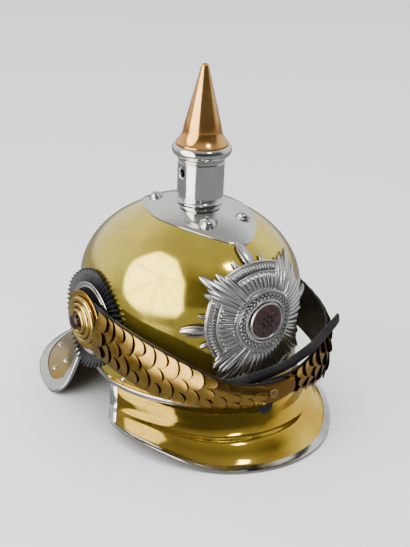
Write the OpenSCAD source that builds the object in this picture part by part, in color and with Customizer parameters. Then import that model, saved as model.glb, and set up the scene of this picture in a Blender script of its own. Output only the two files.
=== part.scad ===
// Heavy cavalry helmet with a spike: polished brass skull, stepped front visor, flared neck
// guard, nickel silver trims, a pressed star plate and brass chin scales on leather.
// Millimetres. Z is up, the front is towards -Y and the wearer's left is towards +X.
// The helmet stands on its visor rim and neck guard rim, on the plane Z = 0.

/* [Skull] */
// Half the skull's outer width
skull_half_w = 91; // [84:0.5:98]
// Half the skull's outer length
skull_half_l = 109; // [100:0.5:118]
// Height of the dome from its widest ring to its top
dome_rise = 77; // [68:0.5:88]
// How far the top of the dome leans forward of the middle
dome_lean = 12.5; // [0:0.5:16]
// Height of the straight wall below the widest ring
wall_drop = 73; // [64:0.5:80]
// Sheet thickness of the brass shells
sheet = 1.2; // [0.8:0.1:1.6]
// How far the lower edge rises over each ear
ear_rise = 10; // [4:0.5:14]
// Half angle of the skull edge that the visor covers
visor_angle = 80; // [74:1:84]
// Half angle of the skull edge that the neck guard covers, from the rear
neck_angle = 66; // [58:1:70]

/* [Visor] */
// Reach of the visor in front of the skull
visor_reach = 45; // [36:0.5:54]
// Drop from the skull edge to the visor rim at the front
visor_drop = 40; // [34:0.5:46]
// Half the width of the visor rim
visor_half_w = 101; // [96:0.5:106]
// Length of the visor rim's half oval
visor_oval = 109; // [100:0.5:116]
// Rise of the visor rim at the sides
visor_side_lift = 11; // [4:0.5:14]
// Angle of the rim's rear corner, past the side of its oval
visor_corner = 96; // [90:0.5:98]

/* [Neck guard] */
// Half the width of the neck guard rim
neck_half_w = 107; // [100:0.5:110]
// Length of the neck guard rim's half oval
neck_oval = 122; // [112:0.5:128]
// Reach of the neck guard behind the skull
neck_reach = 57; // [48:0.5:62]
// Angle on the rim's oval where the round front corner ends
neck_corner = 90; // [82:0.5:92]
// Angle that the round corner takes from the rim
neck_round = 10; // [8:1:20]

/* [Trims and joints] */
// Thickness of the nickel silver strips
strip = 0.7; // [0.5:0.1:1]
// Width of the strip over the joint of skull and visor
band_w = 4.6; // [3.5:0.1:6]
// Width of the strip along the visor rim
visor_trim_w = 8; // [5:0.5:10]
// Width of the strip along the neck guard rim
neck_trim_w = 9; // [5:0.5:11]
// Gap between fixed pieces that lie on each other
seat_gap = 0.15; // [0.1:0.05:0.3]
// Gap between pieces that move past each other
run_gap = 0.4; // [0.3:0.05:0.6]
// Diameter of the rivet heads
rivet_d = 5; // [3:0.5:6]

/* [Spike] */
// Half the width of the base plate at its round middle
plate_half_w = 43; // [38:0.5:48]
// Distance from the skull's front to the base plate's front point
plate_margin = 39; // [33:1:49]
// Thickness of the base plate
plate_t = 1.2; // [0.8:0.1:1.6]
// Distance of the dome studs from the spike
stud_ring = 43; // [38:0.5:46]
// Angle of the studs from the middle line
stud_angle = 25; // [18:1:40]
// Diameter of the dome studs
stud_d = 12; // [8:0.5:14]
// Outer diameter of the collar
collar_d = 40; // [36:0.5:46]
// Height of the collar's cylinder
collar_h = 30; // [26:0.5:36]
// Wall of the collar
collar_wall = 1.6; // [1.2:0.1:2.4]
// Outer diameter of the collar's bead
bead_d = 51; // [46:0.5:56]
// Thickness of the collar's bead
bead_t = 11; // [8:0.5:12]
// Diameter of the two vent holes
vent_d = 8; // [5:0.5:10]
// Height of the cone of the spike
cone_h = 69; // [60:1:84]
// Diameter of the cone at its flared base
cone_d = 45; // [38:0.5:48]
// Diameter of the cone's blunt tip
tip_d = 7; // [4:0.5:9]
// Diameter of the threaded stem under the cone
stem_d = 12; // [8:0.5:14]
// Length of the threaded stem
stem_h = 14; // [8:0.5:20]

/* [Star plate] */
// Radius of the star's long rays
star_r = 71; // [60:1:76]
// Radius of the star's round body
star_body_r = 52.5; // [44:0.5:58]
// Number of long rays
star_rays = 8; // [6:1:12]
// Turn of the star from upright
star_turn = 6; // [0:1:10]
// Height of the star's middle above the dome's widest ring
star_rise = 4; // [-6:0.5:8]
// Thickness of the star plate
star_t = 1; // [0.8:0.1:1.6]
// Gap between the star and the skull
star_gap = 2; // [1.2:0.1:3]
// Outer radius of the star's inner ring
ring_r = 27; // [22:0.5:30]
// Width of the star's inner ring
ring_w = 9; // [6:0.5:11]
// Radius of the middle roundel
roundel_r = 15; // [12:0.5:17]
// Diameter of the star's threaded posts
post_d = 3; // [2.5:0.5:4]

/* [Chin scales] */
// Room from the skull's side to the back of the straps' scales at the pivots
pivot_room = 10.5; // [9:0.5:14]
// Pivot's distance behind the middle of the skull
pivot_y = 9.5; // [0:0.5:14]
// Pivot's distance below the top of the dome
pivot_drop = 97.5; // [92:0.5:104]
// Room from the skull's front to the closed straps
strap_room = 22.5; // [20:0.5:28]
// Fall of the closed straps from the pivots to the front
strap_fall = 32.5; // [28:0.5:38]
// How far the loose left strap bows outwards
left_bow = 5; // [2:0.5:7]
// Half the width of the straps at the pivots
strap_half_w = 21.5; // [18:0.5:22]
// Half the width of the straps where they meet
strap_end_half_w = 9; // [8:0.5:11]
// Number of scales on each strap
scale_count = 14; // [12:1:18]
// Thickness of a scale
scale_t = 0.8; // [0.6:0.1:1]
// Crown of the scales across the strap
scale_crown = 2.6; // [1:0.1:3.5]
// Thickness of the strap's leather
leather_t = 2; // [1.5:0.1:2.5]
// Diameter of the pivot posts
pivot_d = 6; // [5:0.5:8]
// Diameter of the bosses
boss_d = 42; // [38:0.5:48]
// Height of the bosses
boss_h = 7.5; // [6:0.5:12]
// Diameter of the cockades
cockade_d = 86; // [80:1:92]
// How far the cockades flare out at their bottom edges
cockade_flare = 8; // [0:0.5:9]
// Number of pleats in a cockade
cockade_pleats = 56; // [40:4:72]
// Thickness of a cockade at its rim
cockade_t = 3; // [2.5:0.5:4]

/* [Lining] */
// Thickness of the leather linings
lining_t = 1.5; // [1:0.1:2.5]
// Room between the skull and the sweatband
band_room = 6; // [4:0.5:9]
// Height of the sweatband
sweatband_h = 40; // [30:1:50]
// Number of tongues in the crown lining
tongue_count = 10; // [8:1:12]
// Diameter of the cord that gathers the tongues
cord_d = 3; // [2:0.5:4]

/* [Hidden] */
$fn = 64;

brass = "#c9a24a";
copper = "#b9774a";
silver = "#c9c9c4";
dark_leather = "#24201f";
tan_leather = "#8a6a45";

columns = 64;
edge_z = visor_drop;
rim_room = 1.4;
equator_z = edge_z + wall_drop;
pole_z = equator_z + dome_rise;
plate_point = skull_half_l - plate_margin;
visor_tip = skull_half_l + visor_reach;
neck_tip = skull_half_l + neck_reach;
// The lip of the neck guard's strip stands out farther than the visor's
lip_excess = 1.23;
skull_y = (visor_tip - neck_tip - lip_excess) / 2;
spike_y = skull_y - dome_lean;
pivot_x = skull_half_w + pivot_room;
strap_reach = skull_half_l + pivot_y + strap_room;
pivot = [pivot_x, skull_y + pivot_y, pole_z - pivot_drop];

// Joins quads of point numbers into triangles
function two(a, b, c, d) = [[a, b, c], [a, c, d]];
function flat(lists) = [for (l = lists) for (x = l) x];
function smooth(t) = let (u = max(0, min(1, t))) u * u * (3 - 2 * u);
function mix(a, b, t) = a + (b - a) * t;
function unit(v) = v / norm(v);

// A closed sheet between two grids of points, with rows going up and columns going
// towards the wearer's left as seen from outside
module sheet_between(outer, inner, ring = false) {
    rows = len(outer);
    cols = len(outer[0]);
    spans = ring ? cols : cols - 1;
    function o(i, j) = i * cols + j % cols;
    function n(i, j) = rows * cols + o(i, j);
    polyhedron(points = concat(flat(outer), flat(inner)), faces = concat(
        flat([for (i = [0:rows - 2]) for (j = [0:spans - 1])
            concat(two(o(i, j), o(i + 1, j), o(i + 1, j + 1), o(i, j + 1)),
                two(n(i, j), n(i, j + 1), n(i + 1, j + 1), n(i + 1, j)))]),
        flat([for (j = [0:spans - 1])
            concat(two(o(0, j), o(0, j + 1), n(0, j + 1), n(0, j)),
                two(o(rows - 1, j + 1), o(rows - 1, j), n(rows - 1, j), n(rows - 1, j + 1)))]),
        ring ? [] : flat([for (i = [0:rows - 2])
            concat(two(o(i + 1, 0), o(i, 0), n(i, 0), n(i + 1, 0)),
                two(o(i, cols - 1), o(i + 1, cols - 1), n(i + 1, cols - 1), n(i, cols - 1)))])));
}

// A bar swept through sections of equal length, with its end caps given as quads
module bar(sections, caps = [[0, 1, 2, 3]]) {
    m = len(sections[0]);
    last = (len(sections) - 1) * m;
    polyhedron(points = flat(sections), faces = concat(
        flat([for (i = [0:len(sections) - 2]) for (j = [0:m - 1])
            two(i * m + j, (i + 1) * m + j, (i + 1) * m + (j + 1) % m, i * m + (j + 1) % m)]),
        flat([for (q = caps) two(q[0], q[1], q[2], q[3])]),
        flat([for (q = caps) two(last + q[3], last + q[2], last + q[1], last + q[0])])));
}

// Skull surface moved out by off: az turns from the front to the wearer's left, k climbs
// the dome from its widest ring
function dome(off, az, k) = [
    (skull_half_w + off) * cos(k) * sin(az),
    skull_y - (skull_half_l + off) * cos(k) * cos(az) - dome_lean * sin(k),
    equator_z + (dome_rise + off) * sin(k)];
function wall(off, az, z) = [
    (skull_half_w + off) * sin(az), skull_y - (skull_half_l + off) * cos(az), z];
// Skull surface over a plan point, with v measured back from the spike
function crown(off, x, v) = let (
    s = sqrt(1 - pow(x / (skull_half_w + off), 2) - pow(v / (skull_half_l + off), 2)))
    [x, skull_y + v - dome_lean * s, equator_z + (dome_rise + off) * s];
// Height of the skull's lower edge, arched over the ears
ear_az = 105;
ear_span = 28;
function edge(az) = let (
    w = abs(az) > 180 ? 360 - abs(az) : abs(az),
    d = abs(w - ear_az) / ear_span)
    edge_z + (d < 1 ? ear_rise * pow(cos(90 * d), 2) : 0);

dome_steps = [0:10:80];
post_play = 0.2;
stud_shank_d = 3;
star_post_x = 30;
// Places of the four dome studs: across, and back from the spike
stud_spots = [for (g = [stud_angle, 180 - stud_angle, 180 + stud_angle, -stud_angle])
    [stud_ring * sin(g), -stud_ring * cos(g)]];
function crown_normal(x, v) = let (
    s = sqrt(1 - pow(x / skull_half_w, 2) - pow(v / skull_half_l, 2)))
    unit([x / pow(skull_half_w, 2), v / pow(skull_half_l, 2),
        v / pow(skull_half_l, 2) * dome_lean / dome_rise + s / dome_rise]);
module on_crown(off, x, v) {
    n = crown_normal(x, v);
    translate(crown(off, x, v)) rotate([0, acos(n[2]), atan2(n[1], n[0])]) children();
}
module on_wall(off, az, z) {
    turn = atan2(sin(az) / skull_half_w, cos(az) / skull_half_l);
    translate(wall(off, az, z)) rotate([0, 0, turn]) rotate([90, 0, 0]) children();
}
// Children with their Z axis outward along a pivot, from the plane x = 0
module at_pivot(side) {
    translate([0, pivot[1], pivot[2]]) rotate([0, side * 90, 0]) children();
}
module drill(d, depth) {
    translate([0, 0, -depth]) cylinder(d = d, h = 2 * depth);
}
star_az = star_post_x / skull_half_w * 180 / PI;
module stud_holes() {
    for (p = stud_spots) on_crown(0, p[0], p[1]) drill(stud_shank_d + post_play, 6);
}
module skull() {
    az = [for (j = [0:columns - 1]) 360 * j / columns - 180];
    function grid(off) = concat(
        [[for (a = az) wall(off, a, edge(a))], [for (a = az) wall(off, a, edge_z + 28)]],
        [for (k = dome_steps) [for (a = az) dome(off, a, k)]]);
    color(brass) difference() {
        sheet_between(grid(0), grid(-sheet), true);
        stud_holes();
        for (s = [-1, 1]) on_wall(0, s * star_az, equator_z) drill(post_d + post_play, 6);
        for (s = [-1, 1]) at_pivot(s) translate([0, 0, skull_half_w]) drill(pivot_d + post_play, 6);
    }
}

// Sections of the visor at the front and at the side, as shares outward and downward
front_section = [[0, 0], [0.055, 0.075], [0.12, 0.175], [0.155, 0.275], [0.19, 0.375],
    [0.265, 0.475], [0.35, 0.55], [0.465, 0.6], [0.56, 0.7], [0.65, 0.815], [0.74, 0.91],
    [0.82, 0.97], [1, 1]];
side_section = [[0, 0], [0.1, 0.1], [0.17, 0.22], [0.19, 0.34], [0.2, 0.46],
    [0.23, 0.56], [0.29, 0.64], [0.42, 0.7], [0.53, 0.77], [0.63, 0.85], [0.72, 0.92],
    [0.8, 0.965], [1, 1]];
visor_rows = len(front_section) - 1;
visor_columns = 40;
function visor_rim(b) = [visor_half_w * sin(b),
    skull_y - visor_tip + visor_oval - visor_oval * cos(b),
    rim_room + visor_side_lift * smooth((abs(b) - 28) / 44)];
// The middle of the visor's sheet: a is the share of its half angle, i the section row
function visor_row(a, i) = let (
    f = min(1, a * a),
    root = wall(seat_gap + sheet / 2, a * visor_angle, edge_z),
    rim = visor_rim(a * visor_corner),
    u = mix(front_section[i][0], side_section[i][0], f),
    w = mix(front_section[i][1], side_section[i][1], f))
    [mix(root[0], rim[0], u), mix(root[1], rim[1], u), mix(root[2], rim[2], w)];
function visor_normal(a, i) = let (
    p = visor_row(a, max(i - 1, 0)),
    q = visor_row(a, min(i + 1, visor_rows)),
    side = visor_row(a + 0.02, i) - visor_row(a - 0.02, i))
    unit(cross(q - p, side));
// Anywhere on the visor, also a little past its rim, moved out by off
function visor_at(a, s, off) = let (
    i = max(0, min(floor(s), visor_rows - 1)),
    p = visor_row(a, i) + off * visor_normal(a, i),
    q = visor_row(a, i + 1) + off * visor_normal(a, i + 1))
    p + (q - p) * (s - i);
visor_shares = [for (j = [0:visor_columns]) 2 * j / visor_columns - 1];
flange_h = band_w + 1;
ground_block = [400, 500, 250];
module above_ground() {
    intersection() {
        children();
        translate([-ground_block[0] / 2, -ground_block[1] / 2, 0]) cube(ground_block);
    }
}
module front_visor() {
    function grid(off) = concat(
        [for (i = [visor_rows:-1:0]) [for (a = visor_shares) visor_at(a, i, off)]],
        [[for (a = visor_shares) wall(seat_gap + sheet / 2 + off, a * visor_angle, edge_z + flange_h)]]);
    color(brass) sheet_between(grid(sheet / 2), grid(-sheet / 2));
}

// Strip folded over an edge: a long outer leaf, a lip past the edge and a short inner leaf.
// Each entry is how far in from the edge, and how far out from the sheet's middle.
function fold(width, gap) = let (
    near = sheet / 2 + gap,
    far = near + strip,
    past = gap + strip)
    [[width, near], [width, far], [-past, far], [-past, -far], [width / 3, -far],
    [width / 3, -near], [-gap, -near], [-gap, near]];
fold_caps = [[0, 1, 2, 7], [7, 2, 3, 6], [6, 3, 4, 5]];

// The visor's free edge: up one side from the joint band, along the rim and back
visor_side_len = 135;
function visor_edge(m) = let (
    last = 1 - m / visor_side_len,
    end = visor_rows - m / 9)
    concat(
        [for (i = [0:visor_rows - 2]) [-last, i]], [[-last, visor_rows - 1 - m / 18]],
        [for (a = visor_shares) [a * last, end]],
        [[last, visor_rows - 1 - m / 18]], [for (i = [visor_rows - 2:-1:0]) [last, i]]);
module visor_trim() {
    section = fold(visor_trim_w, seat_gap);
    tracks = [for (p = section) [for (e = visor_edge(p[0])) visor_at(e[0], e[1], p[1])]];
    color(silver) above_ground()
        bar([for (k = [0:len(tracks[0]) - 1]) [for (t = tracks) t[k]]], fold_caps);
}

// Neck guard: t runs from the skull's edge to the rim, a is the share of its half angle
neck_columns = 36;
neck_square = 0.6;
flare_gap = 0.45;
neck_len = 66;
neck_arc = 150;
round_share = neck_round / neck_corner;
function neck_row(a, t) = let (
    root = wall(seat_gap + sheet / 2, 180 + a * neck_angle, edge(180 - a * neck_angle)),
    b = a * neck_corner,
    rim = [-neck_half_w * sin(b), skull_y + neck_tip - neck_oval + neck_oval * cos(b), rim_room],
    u = pow(max(t, 0), 1.45))
    [mix(root[0], rim[0], u), mix(root[1], rim[1], u), mix(root[2], rim[2], t)];
function neck_normal(a, t) = unit(cross(
    neck_row(a, t + 0.03) - neck_row(a, max(t - 0.03, 0)), neck_row(a + 0.02, t) - neck_row(a - 0.02, t)));
function neck_at(a, t, off) = neck_row(a, t) + off * neck_normal(a, t);
function neck_limit(t) = let (q = max(0, (t - neck_square) / (1 - neck_square)))
    1 - round_share * (1 - sqrt(max(0, 1 - q * q)));
// Rows of the sheet, on the same stations as the strip on its edge
neck_steps = concat([for (i = [0:3]) neck_square * i / 4],
    [for (g = [0:15:90]) neck_square + (1 - neck_square) * sin(g)]);
neck_rows = len(neck_steps) - 1;
module neck_guard() {
    shares = [for (j = [0:neck_columns]) 2 * j / neck_columns - 1];
    function grid(off) = concat(
        [for (i = [neck_rows:-1:0]) let (t = neck_steps[i])
            [for (s = shares) neck_at(s * neck_limit(t), t, off)]],
        [[for (s = shares) let (az = 180 + s * neck_angle)
            wall(seat_gap + sheet / 2 + off, az, edge(180 - s * neck_angle) + flange_h)]]);
    color(brass) above_ground() sheet_between(grid(sheet / 2), grid(-sheet / 2));
}
// The neck guard's free edge, inset by m: down the front, round the corner and along the rim
function neck_half_edge(m) = let (
    side = 1 - m / neck_arc,
    end = 1 - m / neck_len)
    concat(
        [for (i = [0:3]) [side, neck_square * i / 4]],
        [for (g = [0:15:90]) [side - round_share * (1 - cos(g)),
            neck_square + (end - neck_square) * sin(g)]]);
function neck_edge(m) = let (
    half = neck_half_edge(m),
    side = 1 - m / neck_arc - round_share,
    end = 1 - m / neck_len)
    concat(
        [for (e = half) [-e[0], e[1]]],
        [for (j = [1:neck_columns - 1]) [side * (2 * j / neck_columns - 1), end]],
        [for (i = [len(half) - 1:-1:0]) half[i]]);
module neck_guard_trim() {
    section = fold(neck_trim_w, flare_gap);
    tracks = [for (p = section) [for (e = neck_edge(p[0])) neck_at(e[0], e[1], p[1])]];
    color(silver) above_ground()
        bar([for (k = [0:len(tracks[0]) - 1]) [for (t = tracks) t[k]]], fold_caps);
}

// Strips over the joints, outside the flanges of visor and neck guard
band_off = 2 * seat_gap + sheet;
module joint_band(az_list) {
    function ring(az) = let (z = edge(az))
        [wall(band_off, az, z + band_w), wall(band_off + strip, az, z + band_w),
        wall(band_off + strip, az, z + 0.4), wall(band_off, az, z + 0.4)];
    color(silver) bar([for (az = az_list) ring(az)]);
}
module visor_joint_band() {
    joint_band([for (a = visor_shares) a * visor_angle]);
}
module neck_joint_band() {
    joint_band([for (j = [0:neck_columns]) 180 + (2 * j / neck_columns - 1) * neck_angle]);
}
// Folded strips on the skull's edge over the ears
module ear_trims() {
    first = visor_angle + 1;
    last = 180 - neck_angle - 1;
    near = seat_gap;
    far = seat_gap + strip;
    for (side = [-1, 1]) {
        stations = [for (i = [0:8]) side * (side > 0 ? mix(first, last, i / 8) : mix(last, first, i / 8))];
        sections = [for (az = stations) let (z = edge(az)) [
            wall(near, az, z + band_w), wall(far, az, z + band_w),
            wall(far, az, z - far), wall(-sheet - far, az, z - far),
            wall(-sheet - far, az, z + band_w / 2), wall(-sheet - near, az, z + band_w / 2),
            wall(-sheet - near, az, z - near), wall(near, az, z - near)]];
        color(silver) bar(sections, fold_caps);
    }
}

// A domed rivet head, its base on the plane Z = 0
module rivet(d) {
    rotate_extrude() polygon(concat([[0, 0], [d / 2, 0]],
        [for (g = [15:15:90]) [d / 2 * cos(g), 0.3 + d * 0.22 * sin(g)]]));
}
rivet_seat = 0.08;
flare_seat = 0.6;
module skull_rivets() {
    color(silver) for (az = [-73, -38, 0, 38, 73])
        on_wall(rivet_seat, az, edge_z + flange_h + rivet_d / 2 + 0.6) rivet(rivet_d);
}
module on_neck(a, t, off) {
    n = neck_normal(a, t);
    translate(neck_at(a, t, off)) rotate([0, acos(n[2]), atan2(n[1], n[0])]) children();
}
module neck_guard_rivets() {
    color(silver) for (q = [[0.9, 0.12], [0.8, 0.52], [0.77, 0.76], [0.47, 0.74]])
        for (side = [-1, 1]) on_neck(side * q[0], q[1], sheet / 2 + flare_seat) rivet(rivet_d);
    color(silver) on_neck(0, 0.12, sheet / 2 + flare_seat) rivet(rivet_d);
}

// Base plate: a lozenge with rounded sides, pointed towards the front and the rear
plate_gap = 0.35;
plate_power = 1.65;
plate_hole = 0.28;
plate_columns = 48;
module base_plate() {
    beta = [for (j = [0:plate_columns - 1]) 360 * j / plate_columns];
    function reach(b) = pow(pow(abs(sin(b)) / plate_half_w, plate_power)
        + pow(abs(cos(b)) / plate_point, plate_power), -1 / plate_power);
    function grid(off) = [for (q = [1, 0.84, 0.67, 0.48, plate_hole])
        [for (b = beta) crown(off, reach(b) * q * sin(b), -reach(b) * q * cos(b))]];
    color(silver) difference() {
        sheet_between(grid(plate_gap + plate_t), grid(plate_gap), true);
        stud_holes();
    }
}
plate_top = plate_gap + plate_t;
module dome_studs() {
    head_h = 0.62 * stud_d / 2;
    color(silver) for (p = stud_spots) on_crown(0, p[0], p[1]) translate([0, 0, plate_top + seat_gap]) {
        rotate_extrude() polygon(concat([[0, 0], [stud_d / 2 + 0.8, 0], [stud_d / 2 + 0.8, 0.7],
            [stud_d / 2, 0.8]], [for (g = [10:10:90]) [stud_d / 2 * cos(g), 0.8 + head_h * sin(g)]]));
        translate([0, 0, -plate_top - sheet - 4.5]) cylinder(d = stud_shank_d, h = plate_top + sheet + 4.6);
    }
}
module dome_stud_nuts() {
    color(brass) for (p = stud_spots) on_crown(0, p[0], p[1]) translate([0, 0, -sheet - 2.5]) difference() {
        cylinder(d = 8, h = 2, $fn = 6);
        translate([0, 0, -1]) cylinder(d = stud_shank_d + 0.1, h = 4);
    }
}

// Spike collar: foot ring, groove, cylinder, cove and bead, hollow to the top bridge
foot_h = 5.2;
groove_h = 1;
cove_h = 5;
collar_r = collar_d / 2;
collar_seat = crown(plate_top + seat_gap, 0, collar_r)[2] + 0.1;
bead_r = bead_t / 2;
bead_mid = foot_h + groove_h + collar_h + cove_h + bead_r;
cone_seat = bead_mid + 0.82 * bead_r;
module spike_collar() {
    base = foot_h + groove_h;
    top = base + collar_h;
    arm = bead_d / 2 - bead_r;
    inner = collar_r - collar_wall - 1;
    bridge = cone_seat - 3;
    color(silver) translate([0, spike_y, collar_seat]) difference() {
        rotate_extrude() polygon(concat(
            [[inner, 0], [collar_r - 1.2, 0], [collar_r - 1.2, foot_h], [collar_r - 2, foot_h],
            [collar_r - 2, base], [collar_r, base], [collar_r, top], [collar_r - 0.8, top + 0.4],
            [collar_r + 0.1, top + 1.4], [collar_r + 0.1, top + 3.4], [collar_r - 1, top + cove_h - 0.4]],
            [for (g = [-80:10:52]) [arm + bead_r * cos(g), bead_mid + bead_r * sin(g)]],
            [[arm, cone_seat], [stem_d / 2 + post_play, cone_seat], [stem_d / 2 + post_play, bridge],
            [inner, bridge]]));
        translate([0, 0, base + 0.72 * collar_h]) rotate([0, 90, 0])
            translate([0, 0, -bead_d]) cylinder(d = vent_d, h = 2 * bead_d);
    }
}
module spike_cone() {
    base_r = cone_d / 2;
    tip_r = tip_d / 2;
    flare = 12;
    neck = 0.73 * base_r;
    color(copper) translate([0, spike_y, collar_seat + cone_seat + seat_gap]) {
        rotate_extrude() polygon(concat([[0, 0], [base_r, 0], [base_r, 1.2]],
            [for (i = [1:8]) let (t = i / 8) [neck + (base_r - neck) * pow(1 - t, 2), 1.2 + flare * t]],
            [for (g = [10:20:90]) [tip_r * cos(g), cone_h - tip_r + tip_r * sin(g)]]));
        translate([0, 0, -stem_h]) cylinder(d = stem_d, h = stem_h + 1);
    }
}

// The star's surface: across and up from its middle, moved out by off
wrap_across = 94;
wrap_up = 82;
function star_at(off, u, w) = let (
    h = w + star_rise,
    k = h > 0 ? h / wrap_up * 180 / PI : 0,
    az = u / (wrap_across * cos(k)) * 180 / PI,
    p = dome(off, az, k))
    h > 0 ? p : [p[0], p[1], equator_z + h];
function star_polar(off, r, g) = star_at(off, r * sin(g), r * cos(g));
star_sector = 12;
star_columns = star_rays * star_sector;
// Reach of the rim from a ray's middle outwards: single rays between two small leaves, and
// bundles of three leaves in turn
single_ray = [1, 0.85, 0.74, 0.74, 0.82, 0.76, 0.74];
ray_bundle = [0.92, 0.86, 0.77, 0.82, 0.77, 0.74, 0.74];
function star_reach(j) = let (
    i = min(j % star_sector, star_sector - j % star_sector),
    ray = round(j / star_sector) % 2 == 0 ? single_ray : ray_bundle)
    max(star_r * ray[i], star_body_r * 0.98);
flute = 0.5;
module star_plate() {
    rows = [0.12, 0.34, 0.56, 0.76, 0.9, 1];
    function angle(j) = -j * 360 / star_columns - star_turn;
    function radius(j, q) = q < 0.85 ? q * star_body_r : q < 1 ? star_body_r * q : star_reach(j);
    function grid(off, relief) = [for (i = [len(rows) - 1:-1:0]) [for (j = [0:star_columns - 1])
        star_polar(off + (i > 1 && i < 5 ? relief * (j % 2) : 0), radius(j, rows[i]), angle(j))]];
    color(silver) difference() {
        sheet_between(grid(star_gap + star_t, flute), grid(star_gap, 0), true);
        for (s = [-1, 1]) on_wall(0, s * star_az, equator_z) drill(post_d + post_play, 9);
    }
}
star_top = star_gap + star_t + flute;
module star_annulus(off, inner_r, outer_r, thick, paint) {
    n = 48;
    function grid(o) = [for (r = [outer_r, inner_r])
        [for (j = [0:n - 1]) star_polar(o, r, -j * 360 / n)]];
    color(paint) sheet_between(grid(off + thick), grid(off), true);
}
band_outer = 0.98;
band_inner = 0.8;
band_arc = 60;
band_middles = [4, -87];
band_clear = 0.3;
band_t = 0.7;
// Two arcs, over the upper and the right hand ray as the wearer sees them
module star_outer_band() {
    low = star_top + band_clear;
    function grid(o, middle) = [for (q = [band_outer, band_inner]) [for (i = [0:16])
        star_polar(o, star_body_r * q, middle - star_turn + band_arc * (0.5 - i / 16))]];
    color(silver) for (middle = band_middles)
        sheet_between(grid(low + band_t, middle), grid(low, middle));
}
module star_ring() {
    star_annulus(star_top + 0.1, ring_r - ring_w, ring_r, 2.2, silver);
}
module star_roundel() {
    color("#4a1f24") on_wall(star_top + 0.5, 0, equator_z + star_rise)
        rotate_extrude() polygon(concat([[0, 0], [roundel_r, 0], [roundel_r, 1.2]],
            [for (g = [15:15:90]) [roundel_r * cos(g), 1.2 + 1.6 * sin(g)]]));
}
module star_posts() {
    color(silver) for (s = [-1, 1]) on_wall(0, s * star_az, equator_z)
        translate([0, 0, -sheet - 4]) cylinder(d = post_d, h = sheet + 4 + star_gap + star_t);
}
module star_nuts() {
    color(brass) for (s = [-1, 1]) on_wall(0, s * star_az, equator_z)
        translate([0, 0, -sheet - 0.4 - 2]) difference() {
            cylinder(d = 7.5, h = 2, $fn = 6);
            translate([0, 0, -1]) cylinder(d = post_d + 0.1, h = 4);
        }
}

// What sits on a pivot, from the skull outwards
cockade_gap = 0.8;
cockade_ring_t = 1;
leather_out = pivot_x;
root_t = 1;
root_d = 52;
boss_x = leather_out + seat_gap + root_t + run_gap;
// Half width of the skull at a height and a place fore and aft
function skull_x(y, z) = let (
    s = max(0, (z - equator_z) / dome_rise),
    c = (y - skull_y + dome_lean * s) / skull_half_l)
    skull_half_w * sqrt(1 - s * s - c * c);
function on_side(side, r, g, off) = let (
    y = pivot[1] - r * cos(g),
    z = pivot[2] + r * sin(g),
    flare = cockade_flare * pow(max(0, -r * sin(g) - 18) / 24, 2))
    [side * (skull_x(min(y, pivot[1]), z) + cockade_gap + off + flare), y, z];
module cockade(side) {
    r = cockade_d / 2;
    n = 2 * cockade_pleats;
    radii = [r, r * 0.79, r * 0.62, pivot_d / 2 + 2 * post_play];
    function grid(off, relief) = [for (i = [0:3]) [for (j = [0:n - 1])
        on_side(side, radii[i] - (i == 0 ? 1.6 * (j % 2) : 0), -side * j * 360 / n,
            off - (i < 3 ? relief * (j % 2) : 0))]];
    color(dark_leather) sheet_between(grid(cockade_t, 1), grid(0, 0), true);
}
module cockade_ring(side) {
    outer_r = cockade_d * 0.37;
    n = 40;
    function grid(off) = [for (r = [outer_r, outer_r - 4.6]) [for (j = [0:n - 1])
        on_side(side, r, -side * j * 360 / n, off)]];
    color(silver) sheet_between(grid(cockade_t + 0.45 + cockade_ring_t), grid(cockade_t + 0.45), true);
}
module boss(side) {
    r = boss_d / 2;
    steps = [[1, 0], [1, 0.12], [0.95, 0.24], [0.86, 0.27], [0.81, 0.42], [0.7, 0.52], [0.62, 0.55],
        [0.57, 0.7], [0.46, 0.79], [0.41, 0.84], [0.38, 1]];
    color(brass) at_pivot(side) translate([0, 0, boss_x]) difference() {
        rotate_extrude() polygon(concat([[0, 0]], [for (p = steps) [r * p[0], boss_h * p[1]]], [[0, boss_h]]));
        translate([0, 0, -1]) cylinder(d = pivot_d + 0.1, h = boss_h + 2);
    }
}
screw_r = 6.5;
module boss_screw(side) {
    color(dark_leather) at_pivot(side) translate([0, 0, boss_x + boss_h + 0.05])
        rotate_extrude() polygon(concat([[0, 0], [screw_r, 0], [screw_r, 0.4]],
            [for (g = [10:10:90]) [screw_r * cos(g), 0.4 + 2.6 * sin(g)]]));
}
module pivot_post(side) {
    inner_x = skull_half_w - sheet - 3.4;
    color(silver) at_pivot(side) {
        translate([0, 0, inner_x]) cylinder(d = pivot_d, h = boss_x + boss_h - inner_x);
        translate([0, 0, inner_x]) cylinder(d = 15, h = 2);
    }
}

// The closed straps: g is the angle in the strap's sloping plane, from a pivot to the front
low_crown = 0.4;
left_drop_in = leather_t + scale_t + seat_gap + low_crown + run_gap + 0.8;
right_power = 2.1;
left_power = 2.6;
right_fall = 1.23;
left_fall = 1;
function strap_power(side) = side < 0 ? right_power : left_power;
function strap_front(side) = strap_reach - (side < 0 ? 0 : left_drop_in);
function strap_curve(side, g) = let (
    c = cos(g),
    s = sin(g),
    n = strap_power(side),
    rho = pow(pow(abs(c) / pivot_x, n) + pow(abs(s) / strap_front(side), n), -1 / n)
        + (side > 0 ? left_bow * pow(sin(3 * max(0, min(g, 76) - 16)), 2) : 0),
    f = rho * s)
    [side * rho * c, pivot[1] - f, pivot[2] - strap_fall * pow(max(0, f / strap_front(side)), side < 0 ? right_fall : left_fall)];
strap_last = 100;
strap_marks = 50;
function strap_table(side) = [for (
    i = 0, s = 0;
    i <= strap_marks;
    s = s + norm(strap_curve(side, (i + 1) * strap_last / strap_marks)
        - strap_curve(side, i * strap_last / strap_marks)),
    i = i + 1) [s, i * strap_last / strap_marks]];
right_table = strap_table(-1);
left_table = strap_table(1);
function strap_angle(side, s) = lookup(s, side < 0 ? right_table : left_table);
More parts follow.
